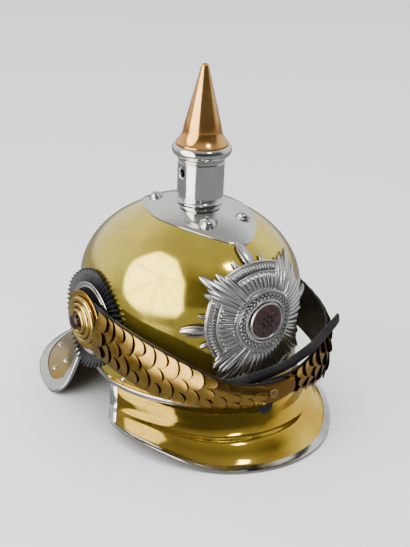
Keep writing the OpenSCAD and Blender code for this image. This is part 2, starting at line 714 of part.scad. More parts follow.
// A point at length s along a strap, v across it (up) and n out of it
function strap_at(side, s, v, n) = let (
    g = strap_angle(side, s),
    t = unit(strap_curve(side, g + 1) - strap_curve(side, max(g - 1, 0))),
    up = unit([0, 0, 1] - t[2] * t),
    out = -side * cross(t, up))
    strap_curve(side, g) + v * up + n * out;
// A slab along a strap between lengths list ss, with top and bottom sheets from functions
function strap_order(side, list) = side < 0 ? list : [for (i = [len(list) - 1:-1:0]) list[i]];
right_len = lookup(90, [for (e = right_table) [e[1], e[0]]]);
left_len = lookup(90, [for (e = left_table) [e[1], e[0]]]);
function strap_len(side) = side < 0 ? right_len : left_len;
scale_start = root_d / 2 + 1;
function scale_end(side) = side < 0 ? 18 : 30;
// Shares of a strap's length where it starts to narrow and where it has narrowed
right_taper = [0.4, 0.91];
left_taper = [0.55, 0.95];
function strap_half(side, s) = let (q = side < 0 ? right_taper : left_taper)
    mix(strap_half_w, strap_end_half_w, smooth((s / strap_len(side) - q[0]) / (q[1] - q[0])));
// Children with their Z axis outward through the closing stud, from the right leather's face
stud_back = 4;
stud_neck_d = 4;
module at_stud() {
    p = strap_at(-1, right_len - stud_back, 0, 0);
    n = strap_at(-1, right_len - stud_back, 0, 1) - p;
    translate(p) rotate([0, acos(n[2]), atan2(n[1], n[0])]) children();
}
module stud_bore(d) {
    at_stud() translate([0, 0, -12]) cylinder(d = d, h = 24);
}
module strap_leather(side, over) {
    stop = strap_len(side) + over;
    ss = strap_order(side, [for (i = [0:22]) mix(0, stop, i / 22)]);
    function grid(n) = [for (v = [-1, 1]) [for (s = ss) strap_at(side, s, v * (strap_half(side, s) + 1), n)]];
    color(dark_leather) difference() {
        union() {
            sheet_between(grid(0), grid(-leather_t));
            at_pivot(side) translate([0, 0, pivot_x - leather_t + 0.1])
                cylinder(r = strap_half_w + 1.5, h = leather_t - 0.2);
        }
        at_pivot(side) translate([0, 0, pivot_x - 20]) cylinder(d = pivot_d + 2 * run_gap, h = 40);
        stud_bore(stud_neck_d + (side < 0 ? 2 * run_gap : 0.1));
    }
}
module root_plate(side) {
    color(brass) at_pivot(side) translate([0, 0, leather_out + seat_gap]) difference() {
        cylinder(d = root_d, h = root_t);
        translate([0, 0, -1]) cylinder(d = pivot_d + 2 * run_gap, h = root_t + 2);
    }
}
// One scale: rear edge on the leather, free edge with two or three lobes over the next scale
scale_rise = 1.05;
module scale_piece(side, s0, pitch, lobes) {
    half = strap_half(side, s0 + pitch / 2);
    cuts = 12;
    lobe = 0.72 * pitch;
    body = pitch;
    function free(v) = s0 + body + lobe * pow(abs(sin(lobes * 90 * (v + 1))), 0.5);
    function point(q, v, up) = let (
        s = mix(s0, free(v), q),
        lift = seat_gap + scale_rise * (s - s0) / pitch + scale_crown * (1 - v * v) + up)
        strap_at(side, s, v * half, lift);
    qs = strap_order(side, [0, 0.55, 1]);
    function grid(up) = [for (i = [0:cuts]) let (v = 2 * i / cuts - 1) [for (q = qs) point(q, v, up)]];
    sheet_between(grid(scale_t), grid(0));
}
module scales(side) {
    pitch = (strap_len(side) - scale_start - scale_end(side)) / scale_count;
    color(brass) for (i = [0:scale_count - 1])
        scale_piece(side, scale_start + i * pitch, pitch, 2 + i % 2);
}
end_crown = 1.2;
right_end = [17, 21];
left_end = [28, 8];
// Smooth end plate over the leather, from a before to b past the strap's middle
module end_plate(side, a, b, crown_h, play) {
    from = strap_len(side) - a;
    to = strap_len(side) + b;
    ss = strap_order(side, [for (i = [0:8]) mix(from, to, i / 8)]);
    function half(s) = strap_half(side, s) * (1 - 0.3 * pow((s - from) / (to - from), 4));
    function grid(up) = [for (v = [-1, -0.5, 0, 0.5, 1])
        [for (s = ss) strap_at(side, s, v * half(s), seat_gap + crown_h * (1 - v * v) + up)]];
    color(brass) difference() {
        sheet_between(grid(scale_t), grid(0));
        stud_bore(stud_neck_d + play);
    }
}
tab_t = 1.5;
left_back = leather_t + left_drop_in;
module closing_stud() {
    head = seat_gap + end_crown + scale_t + run_gap;
    flange = left_back + 0.3 + tab_t + 0.3;
    color(brass) at_stud() {
        translate([0, 0, -flange - 1]) cylinder(d = 9, h = 1);
        translate([0, 0, -flange - 0.5]) cylinder(d = stud_neck_d, h = flange + head + 0.7);
        translate([0, 0, head]) rivet(8.5);
    }
}
module leather_tab() {
    reach = 19;
    wide = 17;
    color(dark_leather) at_stud() translate([0, 0, -left_back - 0.3 - tab_t]) difference() {
        linear_extrude(tab_t) hull() {
            translate([-4, -wide / 2]) square([8, wide]);
            translate([reach - 4, 0]) circle(d = wide);
        }
        translate([0, 0, -1]) cylinder(d = stud_neck_d + 0.1, h = tab_t + 2);
    }
}
// Free end of the strap, from behind the right leather over the left strap's upper edge.
// Each entry is the side, the length short of the middle, and the place across and out.
free_half = 6;
free_t = 2;
free_knots = [[-1, 46, 6.4, -3.4], [-1, 30, 11.8, -3.4], [-1, 15, 12.6, -7.6], [-1, 0, 13, -9.6],
    [1, 18, 15.8, -4.2], [1, 34, 18.5, -3.6], [1, 50, 24.1, 0.5], [1, 64, 31.6, 5],
    [1, 76, 36.2, 8.5], [1, 82, 37.6, 10]];
function knot(i) = let (k = free_knots[max(0, min(i, len(free_knots) - 1))])
    strap_at(k[0], strap_len(k[0]) - k[1], k[2], k[3]);
function along_knots(i, t) = 0.5 * (2 * knot(i) + (knot(i + 1) - knot(i - 1)) * t
    + (2 * knot(i - 1) - 5 * knot(i) + 4 * knot(i + 1) - knot(i + 2)) * t * t
    + (3 * knot(i) - knot(i - 1) - 3 * knot(i + 1) + knot(i + 2)) * t * t * t);
module strap_free_end() {
    track = concat([for (i = [0:len(free_knots) - 2]) for (t = [0:0.25:0.99]) along_knots(i, t)],
        [knot(len(free_knots) - 1)]);
    last = len(track) - 1;
    sections = [for (i = [0:last]) let (
        t = unit(track[min(i + 1, last)] - track[max(i - 1, 0)]),
        up = unit([0, 0, 1] - t[2] * t) * free_half * (i == last ? 0.8 : 1),
        out = unit(cross(t, up)) * free_t / 2,
        p = track[i])
        [p - up + out, p - up - out, p + up - out, p + up + out]];
    color(dark_leather) bar(sections);
}

// Leather linings, hung inside the skull
band_off_in = -sheet - band_room;
module sweatband() {
    az = [for (j = [0:47]) 7.5 * j - 180];
    low = edge_z + ear_rise + 5;
    function grid(o) = [[for (a = az) wall(o + band_room - 1.2, a, low)],
        [for (a = az) wall(o, a, low + 8)], [for (a = az) wall(o, a, low + sweatband_h)]];
    color(tan_leather) sheet_between(grid(band_off_in), grid(band_off_in - lining_t), true);
}
tongue_t = 1.2;
tongue_gap = 0.75;
module crown_lining() {
    foot = edge_z + ear_rise + sweatband_h - 3;
    half = 180 / tongue_count;
    steps = [0, 14, 28, 42, 54, 62];
    function place(o, az, i) = i == 0 ? wall(o, az, foot) : dome(o, az, steps[i - 1]);
    function share(i) = i < 5 ? 0.94 : i == 5 ? 0.8 : 0.5;
    function grid(o, mid) = [for (i = [0:len(steps)]) [for (q = [-1, -1 / 3, 1 / 3, 1])
        place(o, mid + q * half * share(i), i)]];
    color(tan_leather) for (j = [0:tongue_count - 1]) {
        mid = (j + 0.5) * 2 * half;
        sheet_between(grid(band_off_in + tongue_gap + tongue_t, mid), grid(band_off_in + tongue_gap, mid));
    }
}
cord_climb = 57;
module lining_cord() {
    o = band_off_in - 0.1 - cord_d / 2;
    r = cord_d / 2;
    color(dark_leather) bar([for (az = [-174:12:174]) [for (g = [0:60:300])
        dome(o + r * cos(g), az, cord_climb - r * sin(g) / 1.45)]], [[0, 1, 2, 3], [0, 3, 4, 5]]);
}
module visor_lining() {
    shares = [for (j = [0:20]) 0.98 * (2 * j / 20 - 1)];
    near = -sheet / 2 - 2 * seat_gap;
    function grid(o) = [for (i = [visor_rows - 1:-1:1]) [for (a = shares) visor_at(a, i, o)]];
    color(tan_leather) sheet_between(grid(near), grid(near - lining_t * 0.6));
}
module neck_guard_lining() {
    shares = [for (j = [0:18]) 0.95 * (2 * j / 18 - 1)];
    near = -sheet / 2 - 2 * seat_gap;
    function grid(o) = [for (i = [neck_rows - 2:-1:1]) let (t = neck_steps[i] * 0.95)
        [for (a = shares) neck_at(a * neck_limit(t), t, o)]];
    color(tan_leather) sheet_between(grid(near), grid(near - lining_t * 0.6));
}

skull();
front_visor();
neck_guard();
visor_joint_band();
ear_trims();
neck_joint_band();
visor_trim();
neck_guard_trim();
skull_rivets();
neck_guard_rivets();
base_plate();
dome_studs();
dome_stud_nuts();
spike_collar();
spike_cone();
star_plate();
star_outer_band();
star_ring();
star_roundel();
star_posts();
star_nuts();
cockade(-1);  // right_cockade
cockade(1);  // left_cockade
cockade_ring(-1);  // right_cockade_ring
cockade_ring(1);  // left_cockade_ring
boss(-1);  // right_boss
boss(1);  // left_boss
boss_screw(-1);  // right_boss_screw
boss_screw(1);  // left_boss_screw
pivot_post(-1);  // right_pivot_post
pivot_post(1);  // left_pivot_post
strap_leather(-1, 12);  // right_strap_leather
strap_leather(1, 10);  // left_strap_leather
root_plate(-1);  // right_root_plate
root_plate(1);  // left_root_plate
scales(-1);  // right_scales
scales(1);  // left_scales
end_plate(-1, right_end[0], right_end[1], end_crown, 2 * run_gap);  // right_end_plate
end_plate(1, left_end[0], left_end[1], low_crown, 0.1);  // left_end_plate
closing_stud();
leather_tab();
strap_free_end();
sweatband();
crown_lining();
lining_cord();
visor_lining();
neck_guard_lining();
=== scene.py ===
"""Heavy cavalry helmet with a spike, dressed over its CAD model.

Sizes are in millimetres, as in the CAD source, and become metres when a mesh is made. The inputs
of geometry nodes, the finishes, the floor and the lights are in metres from the start.
Z is up, the front is towards -Y and the wearer's left is towards +X.
"""
from math import acos, atan2, cos, degrees, exp, floor, pi, radians, sin, sqrt

import bpy
from mathutils import Matrix, Vector


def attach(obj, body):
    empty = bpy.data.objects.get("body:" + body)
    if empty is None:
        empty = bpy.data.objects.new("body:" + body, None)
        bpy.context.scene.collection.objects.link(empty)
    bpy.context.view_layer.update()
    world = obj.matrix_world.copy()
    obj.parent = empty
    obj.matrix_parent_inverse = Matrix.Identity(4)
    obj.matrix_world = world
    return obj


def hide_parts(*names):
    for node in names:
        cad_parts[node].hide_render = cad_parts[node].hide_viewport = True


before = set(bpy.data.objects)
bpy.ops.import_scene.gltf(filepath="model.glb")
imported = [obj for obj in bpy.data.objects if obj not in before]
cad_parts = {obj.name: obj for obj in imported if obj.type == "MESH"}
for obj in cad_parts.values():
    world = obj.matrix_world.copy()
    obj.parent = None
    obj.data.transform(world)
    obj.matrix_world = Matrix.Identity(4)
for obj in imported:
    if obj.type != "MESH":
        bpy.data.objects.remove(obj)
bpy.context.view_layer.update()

MM = 0.001
UPWARD, FORWARD, LEFTWARD = Vector((0, 0, 1)), Vector((0, -1, 0)), Vector((1, 0, 0))
UNIT = Vector((1, 1, 1))
RIGHT, LEFT = -1, 1

# Sizes of the skull and of the plates on it
SKULL_HALF_W, SKULL_HALF_L = 91, 109
DOME_RISE, DOME_LEAN = 77, 12.5
SKULL_Y = -6.615
EDGE_Z, EQUATOR_Z = 40, 113
SHEET = 1.2
STRIP = 0.7
SEAT_GAP, RUN_GAP = 0.15, 0.4
EAR_RISE, EAR_AZ, EAR_SPAN = 10, 105, 28
SPIKE_Y = SKULL_Y - DOME_LEAN
BAND_W = 4.6
VISOR_ANGLE, NECK_ANGLE = 80, 66


def sd(angle):
    return sin(radians(angle))


def cd(angle):
    return cos(radians(angle))


def mix(a, b, t):
    return a + (b - a) * t


def smooth(t):
    u = max(0.0, min(1.0, t))
    return u * u * (3 - 2 * u)


def spread(first, last, count):
    """count + 1 even steps from first to last."""
    return [mix(first, last, i / count) for i in range(count + 1)]


# Meshes

def placed(name, data):
    """A new object of the data, linked to the scene."""
    thing = bpy.data.objects.new(name, data)
    bpy.context.scene.collection.objects.link(thing)
    return thing


def make_plain(piece):
    """Turns a piece with its modifiers into a plain mesh."""
    graph = bpy.context.evaluated_depsgraph_get()
    piece.data = bpy.data.meshes.new_from_object(piece.evaluated_get(graph), depsgraph=graph)
    piece.modifiers.clear()


def volume(points, faces):
    total = 0.0
    for face in faces:
        a = points[face[0]]
        for i in range(1, len(face) - 1):
            total += a.dot(points[face[i]].cross(points[face[i + 1]]))
    return total


def make_piece(name, solids, finish, sharp=38, relief=None):
    """An object from closed solids, each a pair of points and faces, with faces outwards."""
    points, faces = [], []
    for solid_points, solid_faces in solids:
        if volume(solid_points, solid_faces) < 0:
            solid_faces = [face[::-1] for face in solid_faces]
        faces += [tuple(i + len(points) for i in face) for face in solid_faces]
        points += solid_points
    mesh = bpy.data.meshes.new(name)
    mesh.from_pydata([p * MM for p in points], [], faces)
    mesh.materials.append(finish)
    mesh.shade_smooth()
    mesh.set_sharp_from_angle(angle=radians(sharp))
    if relief is not None:
        layer = mesh.attributes.new("relief", "FLOAT", "POINT")
        layer.data.foreach_set("value", relief)
    return placed(name, mesh)


def sheet(outer, inner, ring=False):
    """A closed sheet between two grids of points."""
    rows, cols = len(outer), len(outer[0])
    spans = cols if ring else cols - 1
    half = rows * cols

    def o(i, j):
        return i * cols + j % cols

    def n(i, j):
        return half + o(i, j)

    faces = []
    for i in range(rows - 1):
        for j in range(spans):
            faces.append((o(i, j), o(i, j + 1), o(i + 1, j + 1), o(i + 1, j)))
            faces.append((n(i, j), n(i + 1, j), n(i + 1, j + 1), n(i, j + 1)))
    top = rows - 1
    for j in range(spans):
        faces.append((o(0, j), n(0, j), n(0, j + 1), o(0, j + 1)))
        faces.append((o(top, j + 1), n(top, j + 1), n(top, j), o(top, j)))
    if not ring:
        end = cols - 1
        for i in range(top):
            faces.append((o(i + 1, 0), n(i + 1, 0), n(i, 0), o(i, 0)))
            faces.append((o(i, end), n(i, end), n(i + 1, end), o(i + 1, end)))
    return [p for row in outer + inner for p in row], faces


def between(grid, outer, inner, ring=False):
    """A closed sheet between one grid function at two distances."""
    return sheet(grid(outer), grid(inner), ring)


def swept(sections, ring=False):
    """A bar through sections with equal numbers of points."""
    m, count = len(sections[0]), len(sections)
    faces = []
    for i in range(count if ring else count - 1):
        a, b = i * m, (i + 1) % count * m
        for j in range(m):
            k = (j + 1) % m
            faces.append((a + j, a + k, b + k, b + j))
    if not ring:
        last = (count - 1) * m
        faces.append(tuple(range(m - 1, -1, -1)))
        faces.append(tuple(last + j for j in range(m)))
    return [p for section in sections for p in section], faces


def lathe(profile, place, steps=96):
    """A turned solid: profile is (radius, height) from the axis round to the axis."""
    points, rings = [], []
    for r, h in profile:
        if r < 1e-6:
            rings.append([len(points)])
            points.append(place(0, 0, h))
        else:
            rings.append(list(range(len(points), len(points) + steps)))
            points += [place(r * cos(2 * pi * j / steps), r * sin(2 * pi * j / steps), h)
                       for j in range(steps)]
    closed = rings + [rings[0]] if len(rings[0]) > 1 else rings
    faces = []
    for low, high in zip(closed, closed[1:]):
        for j in range(steps):
            k = (j + 1) % steps
            if len(low) == 1:
                faces.append((low[0], high[k], high[j]))
            elif len(high) == 1:
                faces.append((low[j], low[k], high[0]))
            else:
                faces.append((low[j], low[k], high[k], high[j]))
    return points, faces


# Surfaces of the skull

def dome(off, az, k):
    return Vector(((SKULL_HALF_W + off) * cd(k) * sd(az),
                   SKULL_Y - (SKULL_HALF_L + off) * cd(k) * cd(az) - DOME_LEAN * sd(k),
                   EQUATOR_Z + (DOME_RISE + off) * sd(k)))


def wall(off, az, z):
    return Vector(((SKULL_HALF_W + off) * sd(az), SKULL_Y - (SKULL_HALF_L + off) * cd(az), z))


def crown(off, x, v):
    """The skull's surface over a plan point, with v measured back from the spike."""
    s = sqrt(1 - (x / (SKULL_HALF_W + off)) ** 2 - (v / (SKULL_HALF_L + off)) ** 2)
    return Vector((x, SKULL_Y + v - DOME_LEAN * s, EQUATOR_Z + (DOME_RISE + off) * s))


def crown_normal(x, v):
    """The way out of the skull at a plan point."""
    s = sqrt(1 - (x / SKULL_HALF_W) ** 2 - (v / SKULL_HALF_L) ** 2)
    b = v / SKULL_HALF_L ** 2
    return Vector((x / SKULL_HALF_W ** 2, b, b * DOME_LEAN / DOME_RISE + s / DOME_RISE)).normalized()


def wall_normal(az):
    return Vector((sd(az) / SKULL_HALF_W, -cd(az) / SKULL_HALF_L, 0)).normalized()


def edge(az):
    """Height of the skull's lower edge, arched over the ears."""
    w = abs(az) if abs(az) <= 180 else 360 - abs(az)
    d = abs(w - EAR_AZ) / EAR_SPAN
    return EDGE_Z + (EAR_RISE * cd(90 * d) ** 2 if d < 1 else 0)


def lifted(place, a, t, off, dt=0.02, t_high=1.0):
    """A point of the surface place(a, t), moved out by off; past its end it goes straight on."""
    da = 0.01
    inside = max(0.0, min(t_high, t))
    before, after = max(0.0, inside - dt), min(t_high, inside + dt)
    slope = (place(a, after) - place(a, before)) / (after - before)
    across = place(a + da, inside) - place(a - da, inside)
    return place(a, inside) + slope * (t - inside) + slope.cross(across).normalized() * off


# Finishes

class Graph:
    """The nodes of one tree, made and joined by their names."""

    def __init__(self, tree):
        self.tree = tree

    def fill(self, node, sockets):
        """Sets or joins a node's inputs, called by label, or by number as in _0."""
        for label, value in sockets.items():
            socket = node.inputs[int(label[1:]) if label[0] == "_" else label.replace("_", " ")]
            if isinstance(value, bpy.types.NodeSocket):
                self.tree.links.new(value, socket)
            else:
                socket.default_value = value
        return node

    def node(self, kind, settings=None, **sockets):
        node = self.tree.nodes.new(kind)
        for key, value in (settings or {}).items():
            setattr(node, key, value)
        return self.fill(node, sockets)

    def math(self, operation, a, b=0.0):
        return self.node("ShaderNodeMath", {"operation": operation}, _0=a, _1=b).outputs[0]

    def ramp(self, value, low, high, first=0.0, last=1.0):
        return self.node("ShaderNodeMapRange", Value=value, From_Min=low, From_Max=high,
                         To_Min=first, To_Max=last).outputs["Result"]

    def blend(self, share, first, second):
        return self.node("ShaderNodeMix", {"data_type": "RGBA"}, _0=share, _6=first,
                         _7=second).outputs[2]


class Finish(Graph):
    """A node material round one Principled shader."""

    def __init__(self, name, **sockets):
        self.material = bpy.data.materials.new(name)
        self.material.use_nodes = True
        super().__init__(self.material.node_tree)
        self.shader = self.fill(self.tree.nodes["Principled BSDF"], sockets)
        self.place = self.node("ShaderNodeTexCoord").outputs["Object"]

    def stretched(self, scale):
        return self.node("ShaderNodeMapping", Vector=self.place, Scale=scale).outputs["Vector"]

    def noise(self, scale, detail=3, rough=0.5, where=None):
        return self.node("ShaderNodeTexNoise", Vector=where or self.place, Scale=scale, Detail=detail,
                         Roughness=rough).outputs["Fac"]

    def cells(self, scale):
        return self.node("ShaderNodeTexVoronoi", {"feature": "DISTANCE_TO_EDGE"}, Vector=self.place,
                         Scale=scale).outputs["Distance"]

    def attribute(self, name):
        return self.node("ShaderNodeAttribute", {"attribute_name": name}).outputs["Fac"]

    def bump(self, height, depth, **under):
        return self.node("ShaderNodeBump", Height=height, Distance=depth, Strength=1.0,
                         **under).outputs["Normal"]

    def dress(self, **sockets):
        self.fill(self.shader, sockets)
        return self.material


def rgb(r, g, b):
    return (r, g, b, 1.0)


def polished(name, light, deep, stain, rough, stain_share=0.5, waves=0.0001, scratches=0.000012,
             patch=14, recess_shade=None, metal=1.0, lacquer=0.0, toward=None):
    """Polished sheet metal: cloudy colour, thin stains, fine rubbing marks and a slow waviness. Where a
    relief is stored, its low parts get painted shade; the colour can also turn to another along one
    axis.
    """
    f = Finish(name, Metallic=metal, Coat_Weight=lacquer, Coat_Roughness=0.12, Coat_IOR=1.6)
    cloud = f.ramp(f.noise(patch, 4, 0.55), 0.38, 0.64)
    spots = f.ramp(f.noise(patch * 5, 5, 0.7), 0.62, 0.78, 0.0, stain_share)
    colour = f.blend(spots, f.blend(cloud, light, deep), stain)
    # Along one axis the colour turns to another; on the visor and neck guard this is painted shade on
    # the side that faces the softbox.
    if toward is not None:
        axis, near, far, other = toward
        along = f.node("ShaderNodeSeparateXYZ", _0=f.place).outputs[axis]
        colour = f.blend(f.ramp(along, near, far), colour, other)
    rub = f.noise(900, 2, 0.6, f.stretched((1.0, 1.0, 0.07)))
    sheen = f.ramp(f.math("ADD", f.noise(60, 4, 0.65), f.math("MULTIPLY", spots, 0.5)),
                   0.3, 1.0, rough * 0.75, rough * 1.6)
    fine = f.bump(rub, scratches, Normal=f.bump(f.noise(24, 1, 0.4), waves))
    # Painted shade: where the stored relief is low, in grooves, flutes and recessed floors and along
    # the scales' edges, the colour turns to the recess colour.
    if recess_shade is not None:
        depth = f.ramp(f.attribute("relief"), 0.08, 0.55)
        colour = f.blend(depth, recess_shade, colour)
        sheen = f.math("ADD", sheen, f.ramp(depth, 0.0, 1.0, 0.22, 0.0))
    return f.dress(Base_Color=colour, Roughness=sheen, Normal=fine)


def leather(name, colour, worn, rough, grain=700, creases=70, depth=0.00022, recess_shade=None):
    """Leather: pebbled grain, soft creases and a paler wear on them, with painted shade in the low
    parts where a relief is stored.
    """
    f = Finish(name, Metallic=0.0)
    pebbles = f.cells(grain)
    crease = f.noise(creases, 5, 0.6, f.stretched((1.0, 1.0, 2.2)))
    wear = f.ramp(f.noise(38, 5, 0.7), 0.5, 0.8, 0.0, 0.75)
    height = f.math("ADD", f.ramp(pebbles, 0.0, 0.12), f.math("MULTIPLY", crease, 1.6))
    tone = f.blend(wear, colour, worn)
    # Painted shade: where the stored relief is low, in the grooves between the cockade's pleats, the
    # tone turns to the recess colour.
    if recess_shade is not None:
        tone = f.blend(f.attribute("relief"), recess_shade, tone)
    return f.dress(Base_Color=tone, Normal=f.bump(height, depth),
                   Roughness=f.ramp(crease, 0.3, 0.7, rough * 0.8, rough * 1.2),
                   Specular_IOR_Level=0.45)


skull_brass = polished("skull_brass", rgb(0.95, 0.77, 0.10), rgb(0.76, 0.54, 0.04),
                       rgb(0.42, 0.25, 0.04), 0.11, 0.4, 0.00016, metal=0.95, lacquer=0.6)
# The visor's and neck guard's brass turns darker towards the wearer's right (-X), the side that faces
# the softbox: painted shade that dims its reflection there.
visor_brass = polished("visor_brass", rgb(0.95, 0.70, 0.10), rgb(0.76, 0.46, 0.045),
                       rgb(0.45, 0.20, 0.03), 0.1, 0.55, 0.0002, patch=22, metal=0.94,
                       toward=("X", 0.03, -0.075, rgb(0.34, 0.22, 0.03)))
scale_brass = polished("scale_brass", rgb(0.70, 0.46, 0.10), rgb(0.50, 0.27, 0.04),
                       rgb(0.26, 0.11, 0.03), 0.26, 0.55, 0.0001, patch=60,
                       toward=("Y", -0.07, -0.145, rgb(0.40, 0.20, 0.05)))
# The chin scales' brass: painted dark along each scale's edges, mostly as the shadow under its lobed
# free edge.
edged_brass = polished("edged_brass", rgb(0.60, 0.39, 0.085), rgb(0.38, 0.21, 0.035),
                       rgb(0.20, 0.09, 0.025), 0.22, 0.6, 0.0001, patch=90,
                       recess_shade=rgb(0.07, 0.035, 0.016),
                       toward=("Y", -0.07, -0.145, rgb(0.62, 0.38, 0.09)))
# The bosses' brass, with painted shade in the grooves between the rolls and round the screw.
boss_brass = polished("boss_brass", rgb(0.86, 0.68, 0.24), rgb(0.66, 0.46, 0.13),
                      rgb(0.30, 0.17, 0.06), 0.15, 0.5, patch=45, recess_shade=rgb(0.09, 0.05, 0.02))
trim_silver = polished("trim_silver", rgb(0.80, 0.80, 0.75), rgb(0.64, 0.63, 0.58),
                       rgb(0.33, 0.30, 0.24), 0.16, 0.5, patch=40)
fitting_silver = polished("fitting_silver", rgb(0.84, 0.84, 0.81), rgb(0.74, 0.74, 0.70),
                          rgb(0.45, 0.43, 0.38), 0.1, 0.35, 0.00008, patch=30)
# The star's silver, painted darker as shade in its flutes, grooves and recessed floors. star_bright is
# nearly the same silver without that painted shade, for the raised parts.
star_silver = polished("star_silver", rgb(0.90, 0.90, 0.87), rgb(0.74, 0.74, 0.71),
                       rgb(0.42, 0.41, 0.38), 0.24, 0.4, patch=50, recess_shade=rgb(0.055, 0.055, 0.052))
star_bright = polished("star_bright", rgb(0.92, 0.92, 0.89), rgb(0.76, 0.76, 0.73),
                       rgb(0.45, 0.44, 0.41), 0.28, 0.4, patch=60)
spike_copper = polished("spike_copper", rgb(0.93, 0.52, 0.17), rgb(0.76, 0.34, 0.07),
                        rgb(0.44, 0.17, 0.04), 0.14, 0.5, patch=30, metal=0.96, lacquer=0.2)
fixing_brass = polished("fixing_brass", rgb(0.62, 0.46, 0.20), rgb(0.42, 0.29, 0.11),
                        rgb(0.16, 0.09, 0.04), 0.35, 0.7, patch=120)
steel_post = polished("steel_post", rgb(0.56, 0.55, 0.53), rgb(0.40, 0.39, 0.37),
                      rgb(0.20, 0.13, 0.09), 0.35, 0.7, patch=120)
# The cockades' leather, with painted shade in the grooves between the pleats.
cockade_leather = leather("cockade_leather", rgb(0.014, 0.014, 0.020), rgb(0.045, 0.042, 0.048), 0.3,
                          grain=900, creases=130, depth=0.00005, recess_shade=rgb(0.003, 0.003, 0.004))
strap_leather = leather("strap_leather", rgb(0.017, 0.016, 0.018), rgb(0.06, 0.052, 0.05), 0.42)
lining_leather = leather("lining_leather", rgb(0.045, 0.032, 0.022), rgb(0.11, 0.075, 0.048), 0.6,
                         grain=520)
cord_thread = leather("lining_cord", rgb(0.10, 0.06, 0.035), rgb(0.2, 0.13, 0.08), 0.8, grain=1500)
stitch_thread = leather("stitch_thread", rgb(0.55, 0.45, 0.30), rgb(0.68, 0.6, 0.45), 0.85, grain=2500)


def dark_screw_finish():
    f = Finish("dark_screw", Metallic=0.35)
    cloud = f.ramp(f.noise(160, 5, 0.6), 0.35, 0.7)
    return f.dress(Base_Color=f.blend(cloud, rgb(0.014, 0.007, 0.009), rgb(0.045, 0.024, 0.026)),
                   Roughness=f.ramp(f.noise(300, 3), 0.3, 0.7, 0.18, 0.4),
                   Normal=f.bump(f.noise(500, 3), 0.00004))


def enamel_finish():
    f = Finish("enamel", Metallic=0.0, Coat_Weight=0.8, Coat_Roughness=0.08)
    cloud = f.ramp(f.noise(180, 5, 0.7), 0.4, 0.62)
    crackle = f.ramp(f.cells(320), 0.0, 0.05, 0.0, 1.0)
    colour = f.blend(cloud, rgb(0.018, 0.009, 0.008), rgb(0.07, 0.024, 0.017))
    return f.dress(Base_Color=f.blend(crackle, rgb(0.01, 0.008, 0.008), colour),
                   Roughness=f.ramp(f.noise(240, 4), 0.3, 0.7, 0.2, 0.45),
                   Normal=f.bump(crackle, 0.00005))


dark_screw = dark_screw_finish()
enamel = enamel_finish()


def keep(piece, body, slot_name, *nodes):
    """Rides the piece on its body and lets it stand for CAD nodes, which it hides; slot_name is not
    used.
    """
    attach(piece, body)
    if nodes:
        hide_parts(*nodes)


def add(name, solids, finish, slot_name, *nodes, body="helmet", sharp=38, relief=None):
    """Makes a piece from closed solids and keeps it."""
    keep(make_piece(name, solids, finish, sharp, relief), body, slot_name, *nodes)


# Geometry nodes that set one unit on each point

class Setting(Graph):
    """A geometry node tree that sets a unit on every point of a row, turned by two directions."""

    def __init__(self, name, sizes, make_unit):
        super().__init__(bpy.data.node_groups.new(name, "GeometryNodeTree"))
        self.face = self.tree.interface
        self.face.new_socket("Geometry", in_out="INPUT", socket_type="NodeSocketGeometry")
        for label, value in sizes.items():
            socket = self.face.new_socket(label, in_out="INPUT", socket_type="NodeSocketFloat")
            socket.default_value = value
        self.face.new_socket("Finish", in_out="INPUT", socket_type="NodeSocketMaterial")
        self.face.new_socket("Geometry", in_out="OUTPUT", socket_type="NodeSocketGeometry")
        self.given = self.node("NodeGroupInput").outputs
        unit = make_unit(self)
        outward = self.node("FunctionNodeAlignRotationToVector", {"axis": "Z"},
                            Vector=self.named("out"))
        turned = self.node("FunctionNodeAlignRotationToVector", {"axis": "X", "pivot_axis": "Z"},
                           Rotation=outward.outputs[0], Vector=self.named("across"))
        units = self.node("GeometryNodeInstanceOnPoints", Points=self.given["Geometry"], Instance=unit,
                          Rotation=turned.outputs[0], Scale=self.named("size"))
        solid = self.node("GeometryNodeRealizeInstances", Geometry=units.outputs[0])
        made = self.node("GeometryNodeSetMaterial", Geometry=solid.outputs[0],
                         Material=self.given["Finish"])
        self.node("NodeGroupOutput", Geometry=made.outputs[0])

    def named(self, name):
        return self.node("GeometryNodeInputNamedAttribute", {"data_type": "FLOAT_VECTOR"},
                         Name=name).outputs["Attribute"]

    def place(self):
        where = self.node("GeometryNodeInputPosition").outputs[0]
        return self.node("ShaderNodeSeparateXYZ", _0=where).outputs

    def joined(self, *parts):
        both = self.node("GeometryNodeJoinGeometry")
        for part in parts:
            self.tree.links.new(part, both.inputs[0])
        return both.outputs[0]

    def moved(self, geometry, x, y, z):
        where = self.node("ShaderNodeCombineXYZ", _0=x, _1=y, _2=z).outputs[0]
        return self.node("GeometryNodeSetPosition", Geometry=geometry, Position=where).outputs[0]

    def made(self, name, points, finish, **values):
        """A plain mesh of the units on points, each a place, out, across and size."""
        mesh = bpy.data.meshes.new(name)
        mesh.from_pydata([p[0] * MM for p in points], [], [])
        for column, label in ((1, "out"), (2, "across"), (3, "size")):
            layer = mesh.attributes.new(label, "FLOAT_VECTOR", "POINT")
            layer.data.foreach_set("vector", [c for p in points for c in p[column]])
        piece = placed(name, mesh)
        modifier = piece.modifiers.new(name, "NODES")
        modifier.node_group = self.tree
        values["Finish"] = finish
        for item in self.face.items_tree:
            label = item.name.replace(" ", "_")
            if item.in_out == "INPUT" and label in values:
                modifier[item.identifier] = values[label]
        make_plain(piece)
        for label in ("out", "across", "size"):
            if label in piece.data.attributes:
                piece.data.attributes.remove(piece.data.attributes[label])
        return piece

    def add(self, name, points, finish, slot_name, *nodes, body="helmet", **values):
        keep(self.made(name, points, finish, **values), body, slot_name, *nodes)


